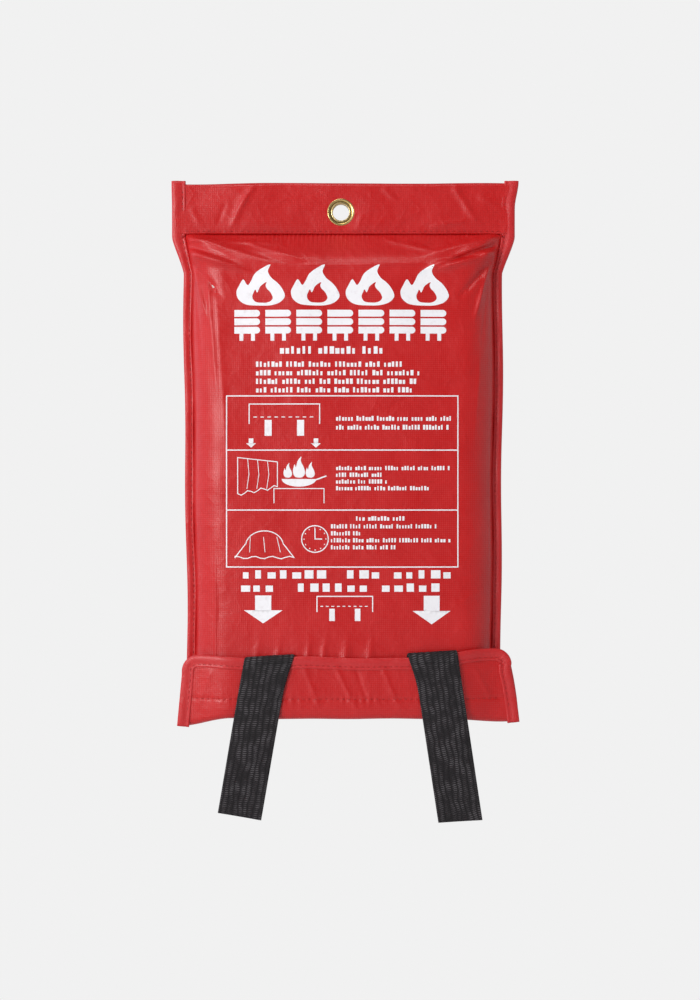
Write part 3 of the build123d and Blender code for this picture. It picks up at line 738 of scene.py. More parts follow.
def tape_piece(name, line, run, fold_x, rows, side, cut_end):
    """Webbing along part of the middle line, with rounded selvedges. Its free end is cut square."""
    outward = math.copysign(1, fold_x)
    splay = SPLAY[side]
    half = TAPE_WIDE / 2
    slope = np.gradient(line, axis=0)
    slope /= np.linalg.norm(slope, axis=1, keepdims=True)
    rings, uv = [], []
    for row in rows:
        depth, z = line[row]
        normal = (-slope[row][1], slope[row][0])
        centre = fold_x + outward * run[row] * math.tan(splay)
        square = CUT[side] * max(0.0, 1 - (rows[-1] - row) / CUT_ROWS) if cut_end else 0.0
        twist = math.exp(-((run[row] / 13.0) ** 2))
        bow = TAPE_CURL * math.sin(run[row] / 17.0 + fold_x) * smooth(run[row] / 20)
        ring, ring_uv = [], []
        for u, height in WEBBING_SECTION:
            x = centre + u * half / math.cos(splay) - outward * max(0.0, -u * outward) * 2.6 * twist
            rise = square * u * half * outward * math.sin(splay)
            place = depth + normal[0] * (height + bow * (u * u - 0.4))
            lift = rise + u * 0.85 * twist + normal[1] * height
            ring.append((x - outward * math.tan(splay) * rise, place, z + lift))
            along = (run[row] - rise) / math.cos(splay) + outward * u * half * math.sin(splay)
            ring_uv.append((u * half, along))
        rings.append(ring)
        uv.append(ring_uv)
    return tube(name, rings, uv)


def webbing_ring():
    """Cross-section of webbing: (share across, height over its middle), with rounded selvedges."""
    top = []
    for u in np.linspace(-1, 1, 41):
        edge = min((1 - abs(u)) * TAPE_WIDE / 2 / 0.5, 1)
        height = WEBBING / 2 * math.sqrt(edge * (2 - edge) + 0.02)
        columns = 0.05 * math.cos(math.tau * u * TAPE_WIDE / 2 / RIB_COLUMN)
        top.append((u, height + columns * edge))
    return top + [(u, -height) for u, height in top[::-1]]


WEBBING_SECTION = webbing_ring()


def bend_places(start, stop):
    return {"start": (0, -start[0] * MM, start[1] * MM), "end": (0, -stop[0] * MM, stop[1] * MM)}


def pull_tape(side):
    """One pull tape in four pieces, each bending across one fold."""
    names = ("foot", "over_inner", "over_outer", "tail_lift")
    foot, inner, outer, tail = (hinge(f"tape_{name}_{side}") for name in names)
    root_low, root_high = span(f"tape_root_{side}")
    bridge_low, bridge_high = span(f"tape_bridge_{side}")
    end = span(f"tape_tail_{side}")[0][2]
    root_top = (root_low[1] + WEBBING / 2 + 0.02, root_high[2])
    line, run, middle = tape_line((foot, inner, outer, tail, root_top, end), TOP_RISE[side])
    halfway = (foot[1] + inner[1]) / 2
    rising = line[:middle - 6]
    split = int(np.argmin(np.abs(rising[:, 1] - halfway) + 9 * (rising[:, 0] < inner[0] - 0.1)))
    upper = middle + int(np.argmin(np.abs(line[middle:, 1] - (outer[1] - 5))))
    ends = (0, split, middle, upper, len(line) - 1)
    centre = tuple(line[middle])
    bends = (
        ((root_top[0] + WEBBING / 2 + 0.15, foot[1]), (foot[0] - WEBBING / 2 - 0.15, foot[1])),
        ((inner[0], inner[1] - 3.5), centre),
        (centre, (outer[0], outer[1] - 3.5)),
        ((tail[0], tail[1] + 3.0), (tail[0], tail[1] - 4.0)),
    )
    bodies = ["blanket"] + [f"tape_{kind}_{side}" for kind in ("inner", "bridge", "upper", "tail")]
    nodes = (("root",), ("inner", "bridge"), ("upper",), ("tail",))
    for number, word in enumerate(("root", "inner", "over", "tail")):
        rows = range(ends[number], ends[number + 1] + 1)
        fold_x = (bridge_low[0] + bridge_high[0]) / 2
        piece = tape_piece(f"tape_{word}_{side}_webbing", line, run, fold_x, rows, side, word == "tail")
        stands_for = [f"tape_{node}_{side}" for node in nodes[number]]
        bend = (bodies[number:number + 2], bend_places(*bends[number]))
        add(piece, "black_webbing", bend, *stands_for)


# ---- materials ----

def formula(operation, swapped=False):
    """Operator of a Value, which adds one Math node."""

    def work(self, *others):
        values = (*others, self) if swapped else (self, *others)
        return self.look.math(operation, *values)

    return work


class Value:
    """A shader output that takes part in formulas like a number."""

    def __init__(self, look, output):
        self.look = look
        self.output = output

    __add__ = __radd__ = formula("ADD")
    __mul__ = __rmul__ = formula("MULTIPLY")
    __sub__ = formula("SUBTRACT")
    __rsub__ = formula("SUBTRACT", swapped=True)
    __truediv__ = formula("DIVIDE")
    __pow__ = formula("POWER")
    __abs__ = formula("ABSOLUTE")


class Look:
    """Node tree of a material or world, with short words for its nodes."""

    def __init__(self, owner):
        owner.use_nodes = True
        self.owner = owner
        self.tree = owner.node_tree
        self.shader = self.tree.nodes.get("Principled BSDF")

    def put(self, source, socket):
        """Gives a socket a number, a colour or an output."""
        if isinstance(source, (Value, bpy.types.NodeSocket)):
            self.tree.links.new(getattr(source, "output", source), socket)
        else:
            socket.default_value = source

    def add(self, kind, inputs=(), **settings):
        """New node. inputs gives its first inputs in order, or its inputs by name."""
        node = self.tree.nodes.new(kind)
        for key, value in settings.items():
            setattr(node, key, value)
        pairs = inputs.items() if isinstance(inputs, dict) else enumerate(inputs)
        for key, source in pairs:
            self.put(source, node.inputs[key])
        return node

    def shade(self, **inputs):
        """Sets inputs of the Principled shader; an underscore stands for a space."""
        for name, source in inputs.items():
            self.put(source, self.shader.inputs[name.replace("_", " ")])

    def math(self, operation, *values):
        return Value(self, self.add("ShaderNodeMath", values, operation=operation).outputs[0])

    def sine(self, value):
        return self.math("SINE", value)

    def noise(self, place, scale, detail=3.0, roughness=0.5):
        inputs = {"Vector": place, "Scale": scale, "Detail": detail, "Roughness": roughness}
        return Value(self, self.add("ShaderNodeTexNoise", inputs).outputs["Fac"])

    def ramp(self, value, *stops):
        """Colour ramp from (place, colour) stops."""
        node = self.add("ShaderNodeValToRGB", [value])
        ramp = node.color_ramp
        for number, (place, colour) in enumerate(stops):
            element = ramp.elements[number] if number < 2 else ramp.elements.new(place)
            element.position = place
            element.color = (*colour, 1)
        return node.outputs["Color"]

    def bump(self, height, strength, distance):
        """Roughens the surface; distance in millimetres."""
        inputs = {"Height": height, "Strength": strength, "Distance": distance * MM}
        self.shade(Normal=self.add("ShaderNodeBump", inputs).outputs["Normal"])

    def axes(self, vector):
        """The three parts of a vector."""
        return [Value(self, part) for part in self.add("ShaderNodeSeparateXYZ", [vector]).outputs]

    def cloth(self):
        """Coordinates of the cloth in millimetres: as a vector, across and along."""
        uv = self.add("ShaderNodeUVMap", uv_map="cloth").outputs["UV"]
        return [uv] + self.axes(uv)[:2]

    def coordinates(self, kind):
        return self.add("ShaderNodeTexCoord").outputs[kind]

    def for_camera(self, seen, lit, output):
        """Shows one shader to the camera and another to all other light."""
        ray = self.add("ShaderNodeLightPath").outputs["Is Camera Ray"]
        mix = self.add("ShaderNodeMixShader", (ray, lit, seen))
        self.put(mix.outputs[0], self.tree.nodes[output].inputs["Surface"])


def new_look(name):
    return Look(bpy.data.materials.new(name))


def between(value, low, high):
    """Maps 0..1 to low..high."""
    return value * (high - low) + low


def red_cloth(name, base, bright, weave, gloss):
    """Coated cloth: a woven grid under a glossy coating, fine crumples, cloudy sheen and scuffs."""
    look = new_look(name)
    uv, u, v = look.cloth()
    grid = abs(look.sine(u * (math.pi / weave))) ** 0.7 * abs(look.sine(v * (math.pi / weave))) ** 0.7
    tone = look.noise(uv, 0.035, 4.0, 0.55) + (grid - 0.45) * 0.16
    crumple = abs(look.noise(uv, 0.075, 2.5, 0.5) - 0.5)
    height = grid * 0.12 + crumple * -2.6 + look.noise(uv, 0.5) * 0.28 + look.noise(uv, 3.0, 2.0) * 0.05
    patch = look.noise(uv, 0.06, 5.0, 0.65)
    look.shade(
        Base_Color=look.ramp(tone, (0.30, base), (0.75, bright)),
        Roughness=between(patch, gloss + 0.16, gloss - 0.14),
        Specular_IOR_Level=between(grid, 0.25, 0.6),
        Coat_Weight=0.14,
        Coat_Roughness=0.2,
    )
    look.bump(height, 0.8, 0.5)
    return look.owner


def webbing_look():
    """Black ribbed webbing: columns of short slanting ribs, each column half a rib out of step. The raised ribs are
    painted paler than the black between them: a painted highlight on the rib tops.
    """
    look = new_look("black_webbing")
    uv, u, v = look.cloth()
    column = u / RIB_COLUMN + look.noise(uv, 0.09, 1.0) * 1.2
    inside = abs(look.math("FRACT", column) * 2 - 1)
    step = look.math("FLOOR", column) * 0.5
    slant = look.math("FRACT", column) * 0.3 + look.noise(uv, 0.25, 2.0) * 0.5
    rib = abs(look.sine((v / RIB + step + slant) * math.pi))
    fuzz = look.noise(uv, 6.0, 3.0, 0.7)
    # Rib heights, varied by uneven wear; the same numbers set how pale each rib is painted, so they also carry the
    # painted highlight.
    worn_ribs_and_highlight = rib * (1.0 - inside ** 3.0 * 0.75) * between(look.noise(uv, 0.12), -0.1, 1.7)
    height = worn_ribs_and_highlight + fuzz * 0.22
    # dark is the black between the ribs; mid and pale are the painted highlight on the rib tops.
    dark, mid, pale = (0.005, 0.004, 0.0045), (0.016, 0.0125, 0.014), (0.085, 0.078, 0.082)
    look.shade(
        Base_Color=look.ramp(height, (0.25, dark), (0.7, mid), (0.98, pale)),
        Roughness=between(fuzz, 0.5, 0.75),
        Specular_IOR_Level=0.3,
        Sheen_Weight=0.03,
    )
    look.bump(height, 0.9, 0.3)
    return look.owner


def brass_look():
    """Polished brass: rings of painted highlight and painted shade across its rolled rim, with a ring of painted shade
    for the dark groove inside it, fine turning marks and a little tarnish.
    """
    look = new_look("brass_eyelet")
    place = look.coordinates("Object")
    x, _, z = look.axes(place)
    share = (look.math("SQRT", x ** 2.0 + z ** 2.0) - 4.8 * MM) / (3.6 * MM)
    # Colour by distance from the hole's axis: the bright rings are painted highlights, the dark rings painted shade on
    # the rim's outer edge and in its groove.
    bright, dark = (0.86, 0.66, 0.30), (0.22, 0.13, 0.03)
    rings = look.ramp(
        share, (0.0, bright), (0.22, bright), (0.36, dark), (0.46, (0.5, 0.34, 0.1)), (0.66, bright),
        (0.86, (0.6, 0.42, 0.14)), (1.0, dark),
    )
    tarnish = look.noise(place, 120.0)
    stain = look.ramp(tarnish, (0.35, (0.7, 0.66, 0.6)), (0.6, (1.0, 1.0, 1.0)))
    shade = look.add("ShaderNodeMix", data_type="RGBA", blend_type="MULTIPLY")
    for name, source in (("Factor", 0.6), ("A", rings), ("B", stain)):
        look.put(source, shade.inputs[name])
    look.shade(Base_Color=shade.outputs["Result"], Metallic=1.0, Roughness=between(tarnish, 0.2, 0.34))
    look.bump(look.sine(share * math.tau) * -1.0, 0.7, 0.4)
    return look.owner


def thread_look(name, colour):
    """Twisted sewing thread."""
    look = new_look(name)
    inputs = {"Scale": 900.0, "Distortion": 1.5, "Vector": look.coordinates("Object")}
    twist = look.add("ShaderNodeTexWave", inputs).outputs["Fac"]
    dark = tuple(c * 0.75 for c in colour)
    look.shade(Base_Color=look.ramp(twist, (0.2, dark), (0.8, colour)), Roughness=0.55)
    look.bump(twist, 0.5, 0.1)
    return look.owner


def ink_look():
    """White screen print, thin enough to show a little of the weave."""
    look = new_look("white_print")
    place = look.coordinates("Object")
    wear = look.noise(place, 300.0, 5.0, 0.6)
    colour = look.ramp(wear, (0.2, (0.80, 0.76, 0.77)), (0.45, (0.93, 0.93, 0.94)))
    look.shade(Base_Color=colour, Roughness=between(wear, 0.35, 0.5))
    look.bump(look.noise(place, 2500.0, 2.0), 0.2, 0.1)
    return look.owner


def hook_loop_look():
    """Hook-and-loop tape: a dense field of tiny tufts."""
    look = new_look("hook_and_loop")
    uv = look.cloth()[0]
    cells = look.add("ShaderNodeTexVoronoi", {"Scale": 1.6, "Vector": uv}).outputs["Distance"]
    height = 1.0 - Value(look, cells) + look.noise(uv, 5.0, 4.0, 0.7) * 0.5
    colour = look.ramp(height, (0.3, (0.16, 0.006, 0.007)), (1.1, (0.42, 0.02, 0.02)))
    look.shade(Base_Color=colour, Roughness=0.85, Sheen_Weight=0.4)
    look.bump(height, 1.0, 0.5)
    return look.owner


def glass_cloth_look():
    """Off-white woven glass cloth with a satin weave and faint shading."""
    look = new_look("glass_cloth")
    uv, u, v = look.cloth()
    weave = look.sine(u * (math.tau / 0.9)) * look.sine(v * (math.tau / 0.9))
    cloud = look.noise(uv, 0.15, 4.0)
    colour = look.ramp(cloud, (0.3, (0.66, 0.64, 0.58)), (0.7, (0.82, 0.81, 0.77)))
    look.shade(Base_Color=colour, Roughness=between(cloud, 0.45, 0.65), Sheen_Weight=0.2)
    look.bump(weave * 0.5 + look.noise(uv, 2.0), 0.6, 0.25)
    return look.owner


# ---- things that lie on a surface ----

class Surface:
    """Finds the visible surface of a piece, seen from the front or from the back."""

    def __init__(self, piece, from_front=True):
        work = bmesh.new()
        work.from_mesh(piece.data)
        self.tree = BVHTree.FromBMesh(work)
        work.free()
        self.way = 1 if from_front else -1

    def place(self, x, z, lift):
        """World point on the surface at (x, z) in millimetres, raised by lift."""
        start = Vector((x * MM, -0.2 * self.way, z * MM))
        hit, normal, _, _ = self.tree.ray_cast(start, Vector((0, self.way, 0)))
        if hit is None:
            return None
        if normal.y * self.way > 0:
            normal = -normal
        return hit + normal * lift * MM


class FlatFace:
    """A flat face at one depth, used like a Surface."""

    way = 1

    def __init__(self, depth):
        self.depth = depth

    def place(self, x, z, lift):
        return Vector((x, -self.depth - lift, z)) * MM


# Share of a stitch's length, share of its thickness and height over the cloth
STITCH = (
    (0.0, 0.35, -0.25), (0.12, 0.85, 0.05), (0.35, 1.0, 0.16),
    (0.65, 1.0, 0.16), (0.88, 0.85, 0.05), (1.0, 0.35, -0.25),
)
STITCH_SIDES = 6


def stitch_corners(surface, point_at, start, length, radius):
    """Corners of one short thread that dips into the cloth, or none where there is no cloth."""
    corners = []
    for share, thick, lift in STITCH:
        at = start + length * share
        x, z = point_at(at)
        x2, z2 = point_at(at + 0.1)
        centre = surface.place(x, z, lift)
        if centre is None:
            return []
        side = Vector((z2 - z, 0, x - x2)).normalized()
        for turn in range(STITCH_SIDES):
            angle = math.tau * turn / STITCH_SIDES
            offset = side * math.cos(angle) + Vector((0, -surface.way, 0)) * math.sin(angle)
            point = centre + offset * radius * thick * MM
            corners.append((point.x / MM, -point.y / MM, point.z / MM))
    return corners


def thread_row(name, surface, path, stitch=2.2, gap=1.0, radius=0.17):
    """Row of stitches along a path of (x, z) points."""
    run = np.concatenate([[0], np.cumsum([math.dist(a, b) for a, b in zip(path, path[1:])])])
    across, up = np.array(path).T

    def point_at(at):
        return float(np.interp(at, run, across)), float(np.interp(at, run, up))

    corners, faces = [], []
    start = gap
    while start + stitch < run[-1]:
        new = stitch_corners(surface, point_at, start, stitch, radius)
        if new:
            faces += grid_faces(len(STITCH), STITCH_SIDES, start=len(corners), wrap=True)
            corners += new
        start += stitch + gap
    return make_object(name, corners, faces)


def straight(x0, z0, x1, z1, steps=60):
    """Points along a line."""
    return [(x0 + (x1 - x0) * k / steps, z0 + (z1 - z0) * k / steps) for k in range(steps + 1)]


# ---- print: generic signs and bars, no lettering. Places are (x, z) in millimetres ----

def rectangle(x0, z0, x1, z1):
    return [[(x0, z0), (x1, z0), (x1, z1), (x0, z1)]]


def fit(box, *points):
    """Points given as shares of a box (x, z, width, height)."""
    x, z, wide, tall = box
    return [(x + wide * a, z + tall * b) for a, b in points]


def stroke(points, width=0.5):
    """Line of a given width through the points, one polygon per stretch."""
    shapes = []
    for (x0, z0), (x1, z1) in zip(points, points[1:]):
        length = max(math.dist((x0, z0), (x1, z1)), 1e-6)
        ex, ez = (x1 - x0) / length * width / 2, (z1 - z0) / length * width / 2
        x0, z0, x1, z1 = x0 - ex, z0 - ez, x1 + ex, z1 + ez
        shapes.append([[(x0 + ez, z0 - ex), (x1 + ez, z1 - ex), (x1 - ez, z1 + ex), (x0 - ez, z0 + ex)]])
    return shapes


def arc(x, z, radius_x, radius_z, start, stop, steps=16):
    """Points on part of an ellipse; angles in degrees."""
    turns = [math.radians(start + (stop - start) * k / steps) for k in range(steps + 1)]
    return [(x + radius_x * math.cos(t), z + radius_z * math.sin(t)) for t in turns]


def flame_outline(*box):
    """Flame with a tip that leans over and a smaller tongue on its left; the box's x is its middle."""
    return smooth_loop(fit(
        box, (0.00, 0.00), (-0.30, 0.03), (-0.46, 0.16), (-0.50, 0.34), (-0.44, 0.50), (-0.36, 0.64),
        (-0.27, 0.50), (-0.20, 0.60), (-0.12, 0.78), (0.04, 0.92), (0.20, 1.00), (0.15, 0.84), (0.22, 0.68),
        (0.36, 0.54), (0.46, 0.38), (0.50, 0.22), (0.40, 0.08), (0.22, 0.01),
    ))


def smooth_loop(points, cuts=4):
    """Closed Catmull-Rom curve through the points."""
    count = len(points)
    curve = []
    for k in range(count):
        a, b, c, d = (np.array(points[(k + n) % count]) for n in (-1, 0, 1, 2))
        for t in np.linspace(0, 1, cuts, endpoint=False):
            bend = (2 * a - 5 * b + 4 * c - d) * t ** 2 + (3 * b - a - 3 * c + d) * t ** 3
            curve.append(tuple(0.5 * (2 * b + (c - a) * t + bend)))
    return curve


def flame(x, z, wide, tall):
    """Flame sign with a flame-shaped opening in it."""
    opening = flame_outline(x + wide * 0.04, z + tall * 0.07, wide * 0.42, tall * 0.5)
    return [flame_outline(x, z, wide, tall), opening]


def folded_blanket(x, z, wide, tall):
    """Sign of a folded blanket: three folds above each other, rounded at one side, with two pull tapes."""
    shapes = []
    tape = tall * 0.22
    layer = (tall - tape) / 3
    for number in range(3):
        low = z + tape + number * layer
        high = low + layer - tall * 0.05
        middle, radius = (low + high) / 2, (high - low) / 2
        left = [(x, low), (x, high)]
        right = arc(x + wide - radius, middle, radius, radius, 90, -90, 8)
        shapes.append([left + right])
    for share in (0.2, 0.65):
        shapes += [rectangle(x + wide * share, z, x + wide * (share + 0.15), z + tape)]
    return shapes


def words(x0, x1, z, tall, seed, pitch):
    """A line of small print as plain upright blocks, in groups of different lengths."""
    rng = np.random.default_rng(seed)
    shapes = []
    x = x0
    while x < x1 - pitch:
        for _ in range(int(rng.integers(3, 8))):
            wide = pitch * rng.uniform(0.45, 0.8)
            if x + wide > x1:
                break
            shapes.append(rectangle(x, z, x + wide, z + tall * rng.choice([1.0, 0.75])))
            x += pitch
        x += pitch * 0.8
    return shapes


def lines(x0, ends, z, step, tall, seed, pitch):
    """Lines of small print under each other, each with its own right end."""
    shapes = []
    for number, end in enumerate(ends):
        shapes += words(x0, end, z - step * number, tall, seed + number, pitch)
    return shapes


def down_arrow(x, z, wide, tall, shaft):
    """Arrow that points down, its tip at (x, z)."""
    neck = z + tall * 0.47
    return [[(x, z), (x + wide / 2, neck), (x + shaft / 2, neck), (x + shaft / 2, z + tall),
             (x - shaft / 2, z + tall), (x - shaft / 2, neck), (x - wide / 2, neck)]]


def pull_sign(*box):
    """Mouth of a pouch with two tapes that are pulled down."""
    x, z, wide, tall = box
    shapes = stroke(fit(box, (0, 0.45), (0, 1), (1, 1), (1, 0.45)), 0.6)
    for k in range(9):
        left = x + wide * (0.06 + 0.1 * k)
        shapes.append(rectangle(left, z + tall * 0.62, left + wide * 0.05, z + tall * 0.62 + 0.5))
    for share in (0.22, 0.68):
        shapes.append(rectangle(*fit(box, (share, 0.1))[0], *fit(box, (share + 0.1, 0.55))[0]))
    return shapes


def pan_sign(*box):
    """A pan in flames on a cooker, with a blanket held over it by its upper edge."""
    x, z, wide, tall = box
    shapes = stroke(fit(box, (0.42, 0), (0.42, 0.3), (1, 0.3), (1, 0)))
    shapes.append([arc(x + wide * 0.71, z + tall * 0.5, wide * 0.2, tall * 0.16, 180, 360)])
    shapes += stroke(fit(box, (0.9, 0.48), (1.02, 0.56)), 0.8)
    for share, size in ((0.58, 0.7), (0.71, 1.0), (0.84, 0.75)):
        place = (x + wide * share, z + tall * 0.53)
        shapes.append([flame_outline(*place, wide * 0.14 * size, tall * 0.44 * size)])
    hem = [(0.46 - 0.46 * k / 12, 0.34 - 0.16 * k / 12 + 0.035 * math.sin(k * 1.6)) for k in range(13)]
    shapes += stroke(fit(box, (0, 0.95), (0.46, 0.86), *hem, (0, 0.95)))
    for share in (0.25, 0.5, 0.75):
        fold = x + wide * 0.46 * share
        top = (fold, z + tall * (0.95 - 0.09 * share))
        shapes += stroke([top, (fold + 0.8, z + tall * 0.6), (fold - 0.4, z + tall * 0.3)], 0.35)
    return shapes


def wait_sign(*box):
    """A blanket lying over a pan, and a clock beside it."""
    x, z, wide, tall = box
    hump = arc(x + wide * 0.31, z + tall * 0.3, wide * 0.2, tall * 0.42, 170, 10)
    hem = [(x + wide * (0.62 - 0.62 * k / 14), z + 0.7 * math.sin(k * 1.5)) for k in range(15)]
    shapes = stroke([(x, z)] + hump + [(x + wide * 0.62, z)] + hem, 0.55)
    for share in (0.16, 0.3, 0.44):
        shapes += stroke(fit(box, (share, 0.55), (share * 1.15 - 0.03, 0.15)), 0.35)
    middle, height = x + wide * 0.84, z + tall * 0.5
    shapes += stroke(arc(middle, height, wide * 0.14, wide * 0.14, 0, 360, 32), 0.6)
    shapes += stroke([(middle, height + wide * 0.1), (middle, height), (middle + wide * 0.07, height)], 0.6)
    for turn in range(0, 360, 30):
        shapes += stroke(arc(middle, height, wide * 0.115, wide * 0.115, turn, turn + 2, 1))
    return shapes


def title_shapes():
    """Two rows of large signs and the lines of small print under them."""
    shapes = [flame(-45.5 + number * 31.0, -55.7, 27.5, 23.4) for number in range(4)]
    for number in range(7):
        shapes += folded_blanket(-60.4 + number * 17.6, -75.6, 14.6, 18.4)
    shapes += words(-34.5, 26.7, -83.0, 4.2, 5, 3.2)
    return shapes + lines(-48.1, (38.1, 46.6, 43.2, 40.9), -90.4, 4.85, 3.0, 20, 2.2)


FRAME_LEFT, FRAME_RIGHT = -64.8, 66.4
FRAME_LINES = (-106.9, -137.6, -171.6, -203.9)


def box_shapes():
    """Three framed steps: pull the tapes, lay the blanket over the flames, wait."""
    shapes = []
    for height in FRAME_LINES:
        shapes += stroke([(FRAME_LEFT, height), (FRAME_RIGHT, height)], 0.65)
    for x in (FRAME_LEFT, FRAME_RIGHT):
        shapes += stroke([(x, FRAME_LINES[0]), (x, FRAME_LINES[-1])], 0.65)
    shapes += pull_sign(-52.0, -131.5, 40.0, 20.0)
    for x in (-50.9, -14.1):
        shapes.append(down_arrow(x, -136.2, 5.6, 5.2, 2.6))
    shapes += lines(-2.7, (63.6, 62.0), -121.0, 5.0, 2.7, 41, 1.7)
    shapes += pan_sign(-58.5, -167.5, 49.0, 27.0)
    shapes += lines(-2.7, (63.0, 23.3, 27.3, 51.1), -149.0, 3.8, 2.4, 50, 1.6)
    shapes += wait_sign(-60.0, -198.5, 54.0, 21.0)
    shapes += words(8.6, 38.7, -177.6, 2.5, 60, 1.8)
    return shapes + lines(-5.6, (55.7, 14.3, 63.0, 31.3), -182.0, 3.95, 2.4, 70, 1.6)


def release_shapes():
    """Bold lines, two large arrows above the tapes and the pull sign between them."""
    rows = ((-55.5, -7.8, -210.4), (3.5, 65.3, -210.4), (-56.6, -31.7, -217.9), (-24.3, 63.6, -217.9))
    shapes = []
    for number, row in enumerate(rows):
        shapes += words(*row, 4.7, 80 + number, 7.0)
    shapes.append(down_arrow(-44.0, -235.8, 22.0, 15.8, 9.2))
    shapes.append(down_arrow(51.5, -236.4, 21.6, 16.2, 9.0))
    return shapes + pull_sign(-13.5, -236.0, 31.5, 15.5)


def flat_mesh(shapes, longest):
    """bmesh of flat triangles with no edge longer than the given length, in millimetres."""
    work = bmesh.new()
    for loops in shapes:
        loops = [[Vector((x, 0, z)) for x, z in loop] for loop in loops]
        corners = [work.verts.new(point) for loop in loops for point in loop]
        for triangle in tessellate_polygon(loops):
            if len(set(triangle)) == 3:
                work.faces.new([corners[k] for k in triangle])
    for _ in range(6):
        long_edges = [e for e in work.edges if e.calc_length() > longest]
        if not long_edges:
            break
        bmesh.ops.subdivide_edges(work, edges=long_edges, cuts=1)
        bmesh.ops.triangulate(work, faces=work.faces)
    return work


INK_LIFT = 0.09        # height of the ink over the cloth


def printed(surface):
    """The white print, laid on the front panel."""
    work = flat_mesh(title_shapes() + box_shapes() + release_shapes(), 2.0)
    missed = []
    for corner in work.verts:
        place = surface.place(corner.co.x, corner.co.z, INK_LIFT)
        if place is None:
            missed.append(corner)
        else:
            corner.co = place
    bmesh.ops.delete(work, geom=missed, context="VERTS")
    mesh = mesh_of("white_print", work)
    mesh.shade_smooth()
    return put("white_print", mesh)


# ---- blanket, strips and bar tacks ----

LAYERS = 7             # doubled layers of the folded blanket
HEM = 4.0              # how far in from the blanket's edge the hem is sewn
REAR_GAP = 0.6         # room between the blanket and the back
REAR_ROUND = 12.0      # radius of the blanket's rounded lower back edge


def blanket_layers():
    """The folded glass cloth: soft folded layers, the rear ones ending higher at the rounded lower edge."""
    rear = BLANKET_LOW[1] + REAR_GAP
    pitch = (BLANKET_HIGH[1] - rear) / LAYERS
    layers = []
    for number in range(LAYERS):
        inward = max(0.0, REAR_ROUND - 0.3 - pitch * number)
        bottom = BLANKET_LOW[2] + REAR_ROUND - math.sqrt(REAR_ROUND ** 2 - inward ** 2)
        layers.append(blanket_layer(number, rear + pitch * (number + 0.5), pitch / 2 * 0.97, bottom))
    return join("blanket_layers", layers)


def blanket_layer(number, middle, half, bottom):
    """One doubled layer with a rounded fold at the bottom and at both sides."""
    top = BLANKET_HIGH[2]
    wide = BLANKET_HIGH[0] - 0.4 * (number % 3)
    loose = 1 if 0 < number < LAYERS - 1 else 0.4
    rings, uv = [], []
    for x in np.linspace(-wide, wide, 76):
        edge = max(0.0, abs(x) - (wide - 2.0)) / 2.0
        thin = math.sqrt(max(0.03, 1 - edge ** 2))
        uneven = 0.25 * math.sin(x / 14.0 + number) + 0.12 * math.sin(x / 4.7 + 2 * number)
        base = bottom + 0.35 + uneven * 0.8
        heights = np.linspace(top - 8, base + 6, 12)
        points = [(half, top - 2)] + [(half, z) for z in heights]
        points += ring_points((0, base + half), half, 0, -math.pi, 9)
        points += [(-half, z) for z in heights[::-1]] + [(-half, top - 2)]
        for turn in np.linspace(math.pi, 0, 7)[1:-1]:
            points.append((half * math.cos(turn), top - half + half * math.sin(turn) * 0.9))
        run = np.cumsum([math.dist(a, b) for a, b in zip(points[:1] + points, points)])
        ring = []
        for across, z in points:
            wave = 0.12 * math.sin(z / 11.0 + number * 1.7 + x / 23.0)
            ring.append((x, middle + across * thin + wave * loose, z))
        rings.append(ring)
        uv.append(places(x, run))
    return tube(f"layer_{number}", rings, uv)


def pad(name, node, rise, place_depth):
    """Hook or loop strip: a pad with rounded edges that follows the cloth it is sewn to."""
    low, high = span(node)
    x = np.linspace(low[0], high[0], 120)
    rows = []
    for z in np.linspace(high[2], low[2], 18):
        near = np.minimum(np.minimum(x - low[0], high[0] - x), min(z - low[2], high[2] - z))
        rows.append((x, place_depth(x, z) + rise * np.sqrt(np.clip(near / 0.8, 0, 1)), z, z))
    return sheet(name, rows, 0.3, flip=rise < 0)


def box_tack(side):
    """Stitched box with a cross that holds a tape's root to the blanket."""
    root_face = span(f"tape_root_{side}")[0][1] + WEBBING + 0.07
    low, high = span(f"tape_bartack_{side}")
    corners = [(low[0], low[2]), (high[0], low[2]), (high[0], high[2]), (low[0], high[2])]
    rows = []
    for number, (a, b) in enumerate(((0, 1), (1, 2), (2, 3), (3, 0), (0, 2), (1, 3))):
        path = straight(*corners[a], *corners[b], 20)
        rows.append(thread_row(f"tack_{number}", FlatFace(root_face), path, 1.8, 0.5, 0.25))
    return join(f"tape_bartack_{side}_thread", rows)


# ---- build ----

LOOKS = {
    "pouch_cloth": red_cloth("coated_red_cloth", (0.53, 0.005, 0.005), (0.58, 0.010, 0.010), 1.1, 0.4),
    "binding_tape": red_cloth("red_binding_tape", (0.54, 0.012, 0.013), (0.60, 0.022, 0.024), 0.8, 0.4),
    "black_webbing": webbing_look(),
    "brass": brass_look(),
    "red_thread": thread_look("red_thread", (0.5, 0.014, 0.014)),
    "white_thread": thread_look("white_thread", (0.7, 0.69, 0.64)),
    "black_thread": thread_look("black_thread", (0.02, 0.02, 0.02)),
    "white_ink": ink_look(),
    "hook_and_loop": hook_loop_look(),
    "glass_cloth": glass_cloth_look(),
}
FLAP_BEND = (("flap_base", "flap"), bend_places(
    (FRONT_FOLD[0] - 7, FRONT_FOLD[1]), (FRONT_FOLD[0], FRONT_FOLD[1] + 7),
))
BASE_BEND = (("pouch", "flap_base"), bend_places((0, BACK_FOLD[1] + 2.2), (2.2, BACK_FOLD[1])))


def add(obj, slot, where, *nodes):
    """Gives a piece its material, the body or bend that moves it, and the CAD nodes that it stands for."""
    obj.data.materials.clear()
    obj.data.materials.append(LOOKS[slot])
    if isinstance(where, str):
        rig.ride(obj, where)
    else:
        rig.blend(obj, *where[0], **where[1])
    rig.replaces(obj, *nodes)
    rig.slot(obj, slot)
    return obj


